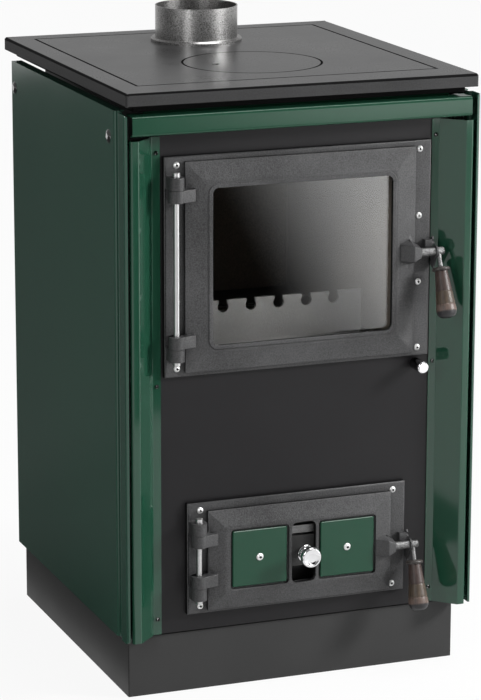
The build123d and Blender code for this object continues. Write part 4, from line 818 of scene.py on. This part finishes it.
tree.links.new(either.outputs["Shader"], tree.nodes["Material Output"].inputs["Surface"])
painted(floor, floor_paint)

# Mats: a dark sheet at the left of the stove and a grey one in front, flat on the floor.
# Only gloss and glass show them: the side panel mirrors the dark one, which is painted shade for the floor in
# the stove's shadow, and the trims and castings mirror the grey one.


def kept_for_gloss(piece):
    """Hides a sheet from the camera and from matt surfaces, and takes its shadow away."""
    piece.visible_camera = False
    piece.visible_diffuse = False
    piece.visible_shadow = False
    return piece


mat_rise = 0.002
for name, tone, left, right, near, far in (
    ("side_mat", 0.08, -14.0, -0.28, -0.6, 5.15), ("front_mat", 0.6, -0.6, 4.0, -6.0, -0.7)
):
    corners = ((left, near), (right, near), (right, far), (left, far))
    mat = kept_for_gloss(sheet(name, [(*corner, mat_rise) for corner in corners]))
    mat_paint, _, shader = plain_material(name)
    shader.inputs["Base Color"].default_value = (tone, tone, tone, 1.0)
    shader.inputs["Roughness"].default_value = 1.0
    painted(mat, mat_paint)

# Cards: upright sheets of soft light before and behind the stove, most of them graded from dark to light.
# Only gloss and glass show them: the pane, the rail, the doors' right slopes and the hob mirror one each.
card_slant = 0.5
for name, left, right, low, high, near, strength, dark_end, light_end in (
    ("glass_card", 0.2, 0.79, 0.01, 0.49, -1.62, 3.8, 0.6, 0.97),
    ("rail_card", 0.1, 1.0, 0.53, 0.75, -1.62, 3.3, 0.34, 1.1),
    ("slope_card", 1.2, 2.6, 0.01, 1.1, -1.62, 4.0, 0.55, 0.93),
    ("hob_card", -0.8, 1.7, 0.86, 1.6, 0.95, 0.53, 6.0, 3.0),
):
    corners = [(left, near, low), (left, near, high), (right, near, high), (right, near, low)]
    card = kept_for_gloss(sheet(name, corners))
    card_glow, tree, shader = plain_material(name)
    shader.inputs["Base Color"].default_value = (0, 0, 0, 1)
    shader.inputs["Specular IOR Level"].default_value = 0.0
    shader.inputs["Emission Strength"].default_value = strength
    spot = tree.nodes.new("ShaderNodeSeparateXYZ")
    tree.links.new(tree.nodes.new("ShaderNodeTexCoord").outputs["Object"], spot.inputs["Vector"])
    slant = worked_out(tree, "MULTIPLY_ADD", spot.outputs["Z"], card_slant, spot.outputs["X"])
    fade = tree.nodes.new("ShaderNodeMapRange")
    fade.interpolation_type = "SMOOTHSTEP"
    fade.inputs["From Min"].default_value = dark_end
    fade.inputs["From Max"].default_value = light_end
    tree.links.new(slant, fade.inputs["Value"])
    tree.links.new(fade.outputs["Result"], shader.inputs["Emission Color"])
    painted(card, card_glow)

# Lamps: an even grey sky, soft light from above, a key at the front right and a strip at the left for round
# metal. The key is two lamps, one for light and one for shine. The hob, which would mirror shine and strip
# as a white patch from behind, takes neither.
world = bpy.data.worlds.new("studio")
bpy.context.scene.world = world
world.use_nodes = True
world.node_tree.nodes["Background"].inputs["Color"].default_value = (1, 1, 1, 1)
world.node_tree.nodes["Background"].inputs["Strength"].default_value = 0.26


def lamp(light, spot, aim):
    """Puts a light in the scene and points it."""
    holder = bpy.data.objects.new(light.name, light)
    holder.location = spot
    holder.rotation_euler = (Vector(aim) - Vector(spot)).to_track_quat("-Z", "Y").to_euler()
    bpy.context.scene.collection.objects.link(holder)
    return holder


top = bpy.data.lights.new("top", "SUN")
top.energy = 1.9
top.angle = radians(30)
lamp(top, (0.9, -0.35, 3.2), (0, 0, 0))
shielded = bpy.data.collections.new("shielded_hob")
for plate in hob_plates:
    shielded.objects.link(plate)
for entry in shielded.collection_objects:
    entry.light_linking.link_state = "EXCLUDE"
key_spot, key_aim = (2.3, -1.5, 1.65), (0.1, -0.25, 0.5)
for name, wide, high, power, spot, aim in (
    ("key", 0.5, 0.6, 92, key_spot, key_aim),
    ("shine", 0.5, 0.6, 92, key_spot, key_aim),
    ("strip", 0.26, 1.0, 11, (-1.5, -1.5, 1.25), (0, 0.1, 0.85)),
):
    light = bpy.data.lights.new(name, "AREA")
    light.shape = "RECTANGLE"
    light.size = wide
    light.size_y = high
    light.energy = power
    holder = lamp(light, spot, aim)
    if name == "key":
        holder.visible_glossy = False
    else:
        holder.light_linking.receiver_collection = shielded
    if name == "shine":
        holder.visible_diffuse = False

# Camera: a long lens at eye height, over four metres from the stove and at its front left.
# It looks slightly down, at the photograph's angle.
camera_data = bpy.data.cameras.new("camera")
camera_data.lens = 160.68
camera_data.sensor_width = 36
camera = bpy.data.objects.new("camera", camera_data)
camera.location = (-1.5667, -4.1070, 1.5189)
turn = Matrix.Rotation(radians(-21.03), 3, "Z")
tilt = Matrix.Rotation(radians(90 - 14.055), 3, "X")
roll = Matrix.Rotation(radians(0.137), 3, "Z")
camera.rotation_euler = (turn @ tilt @ roll).to_euler()
bpy.context.scene.collection.objects.link(camera)
bpy.context.scene.camera = camera
bpy.context.scene.view_settings.view_transform = "Standard"
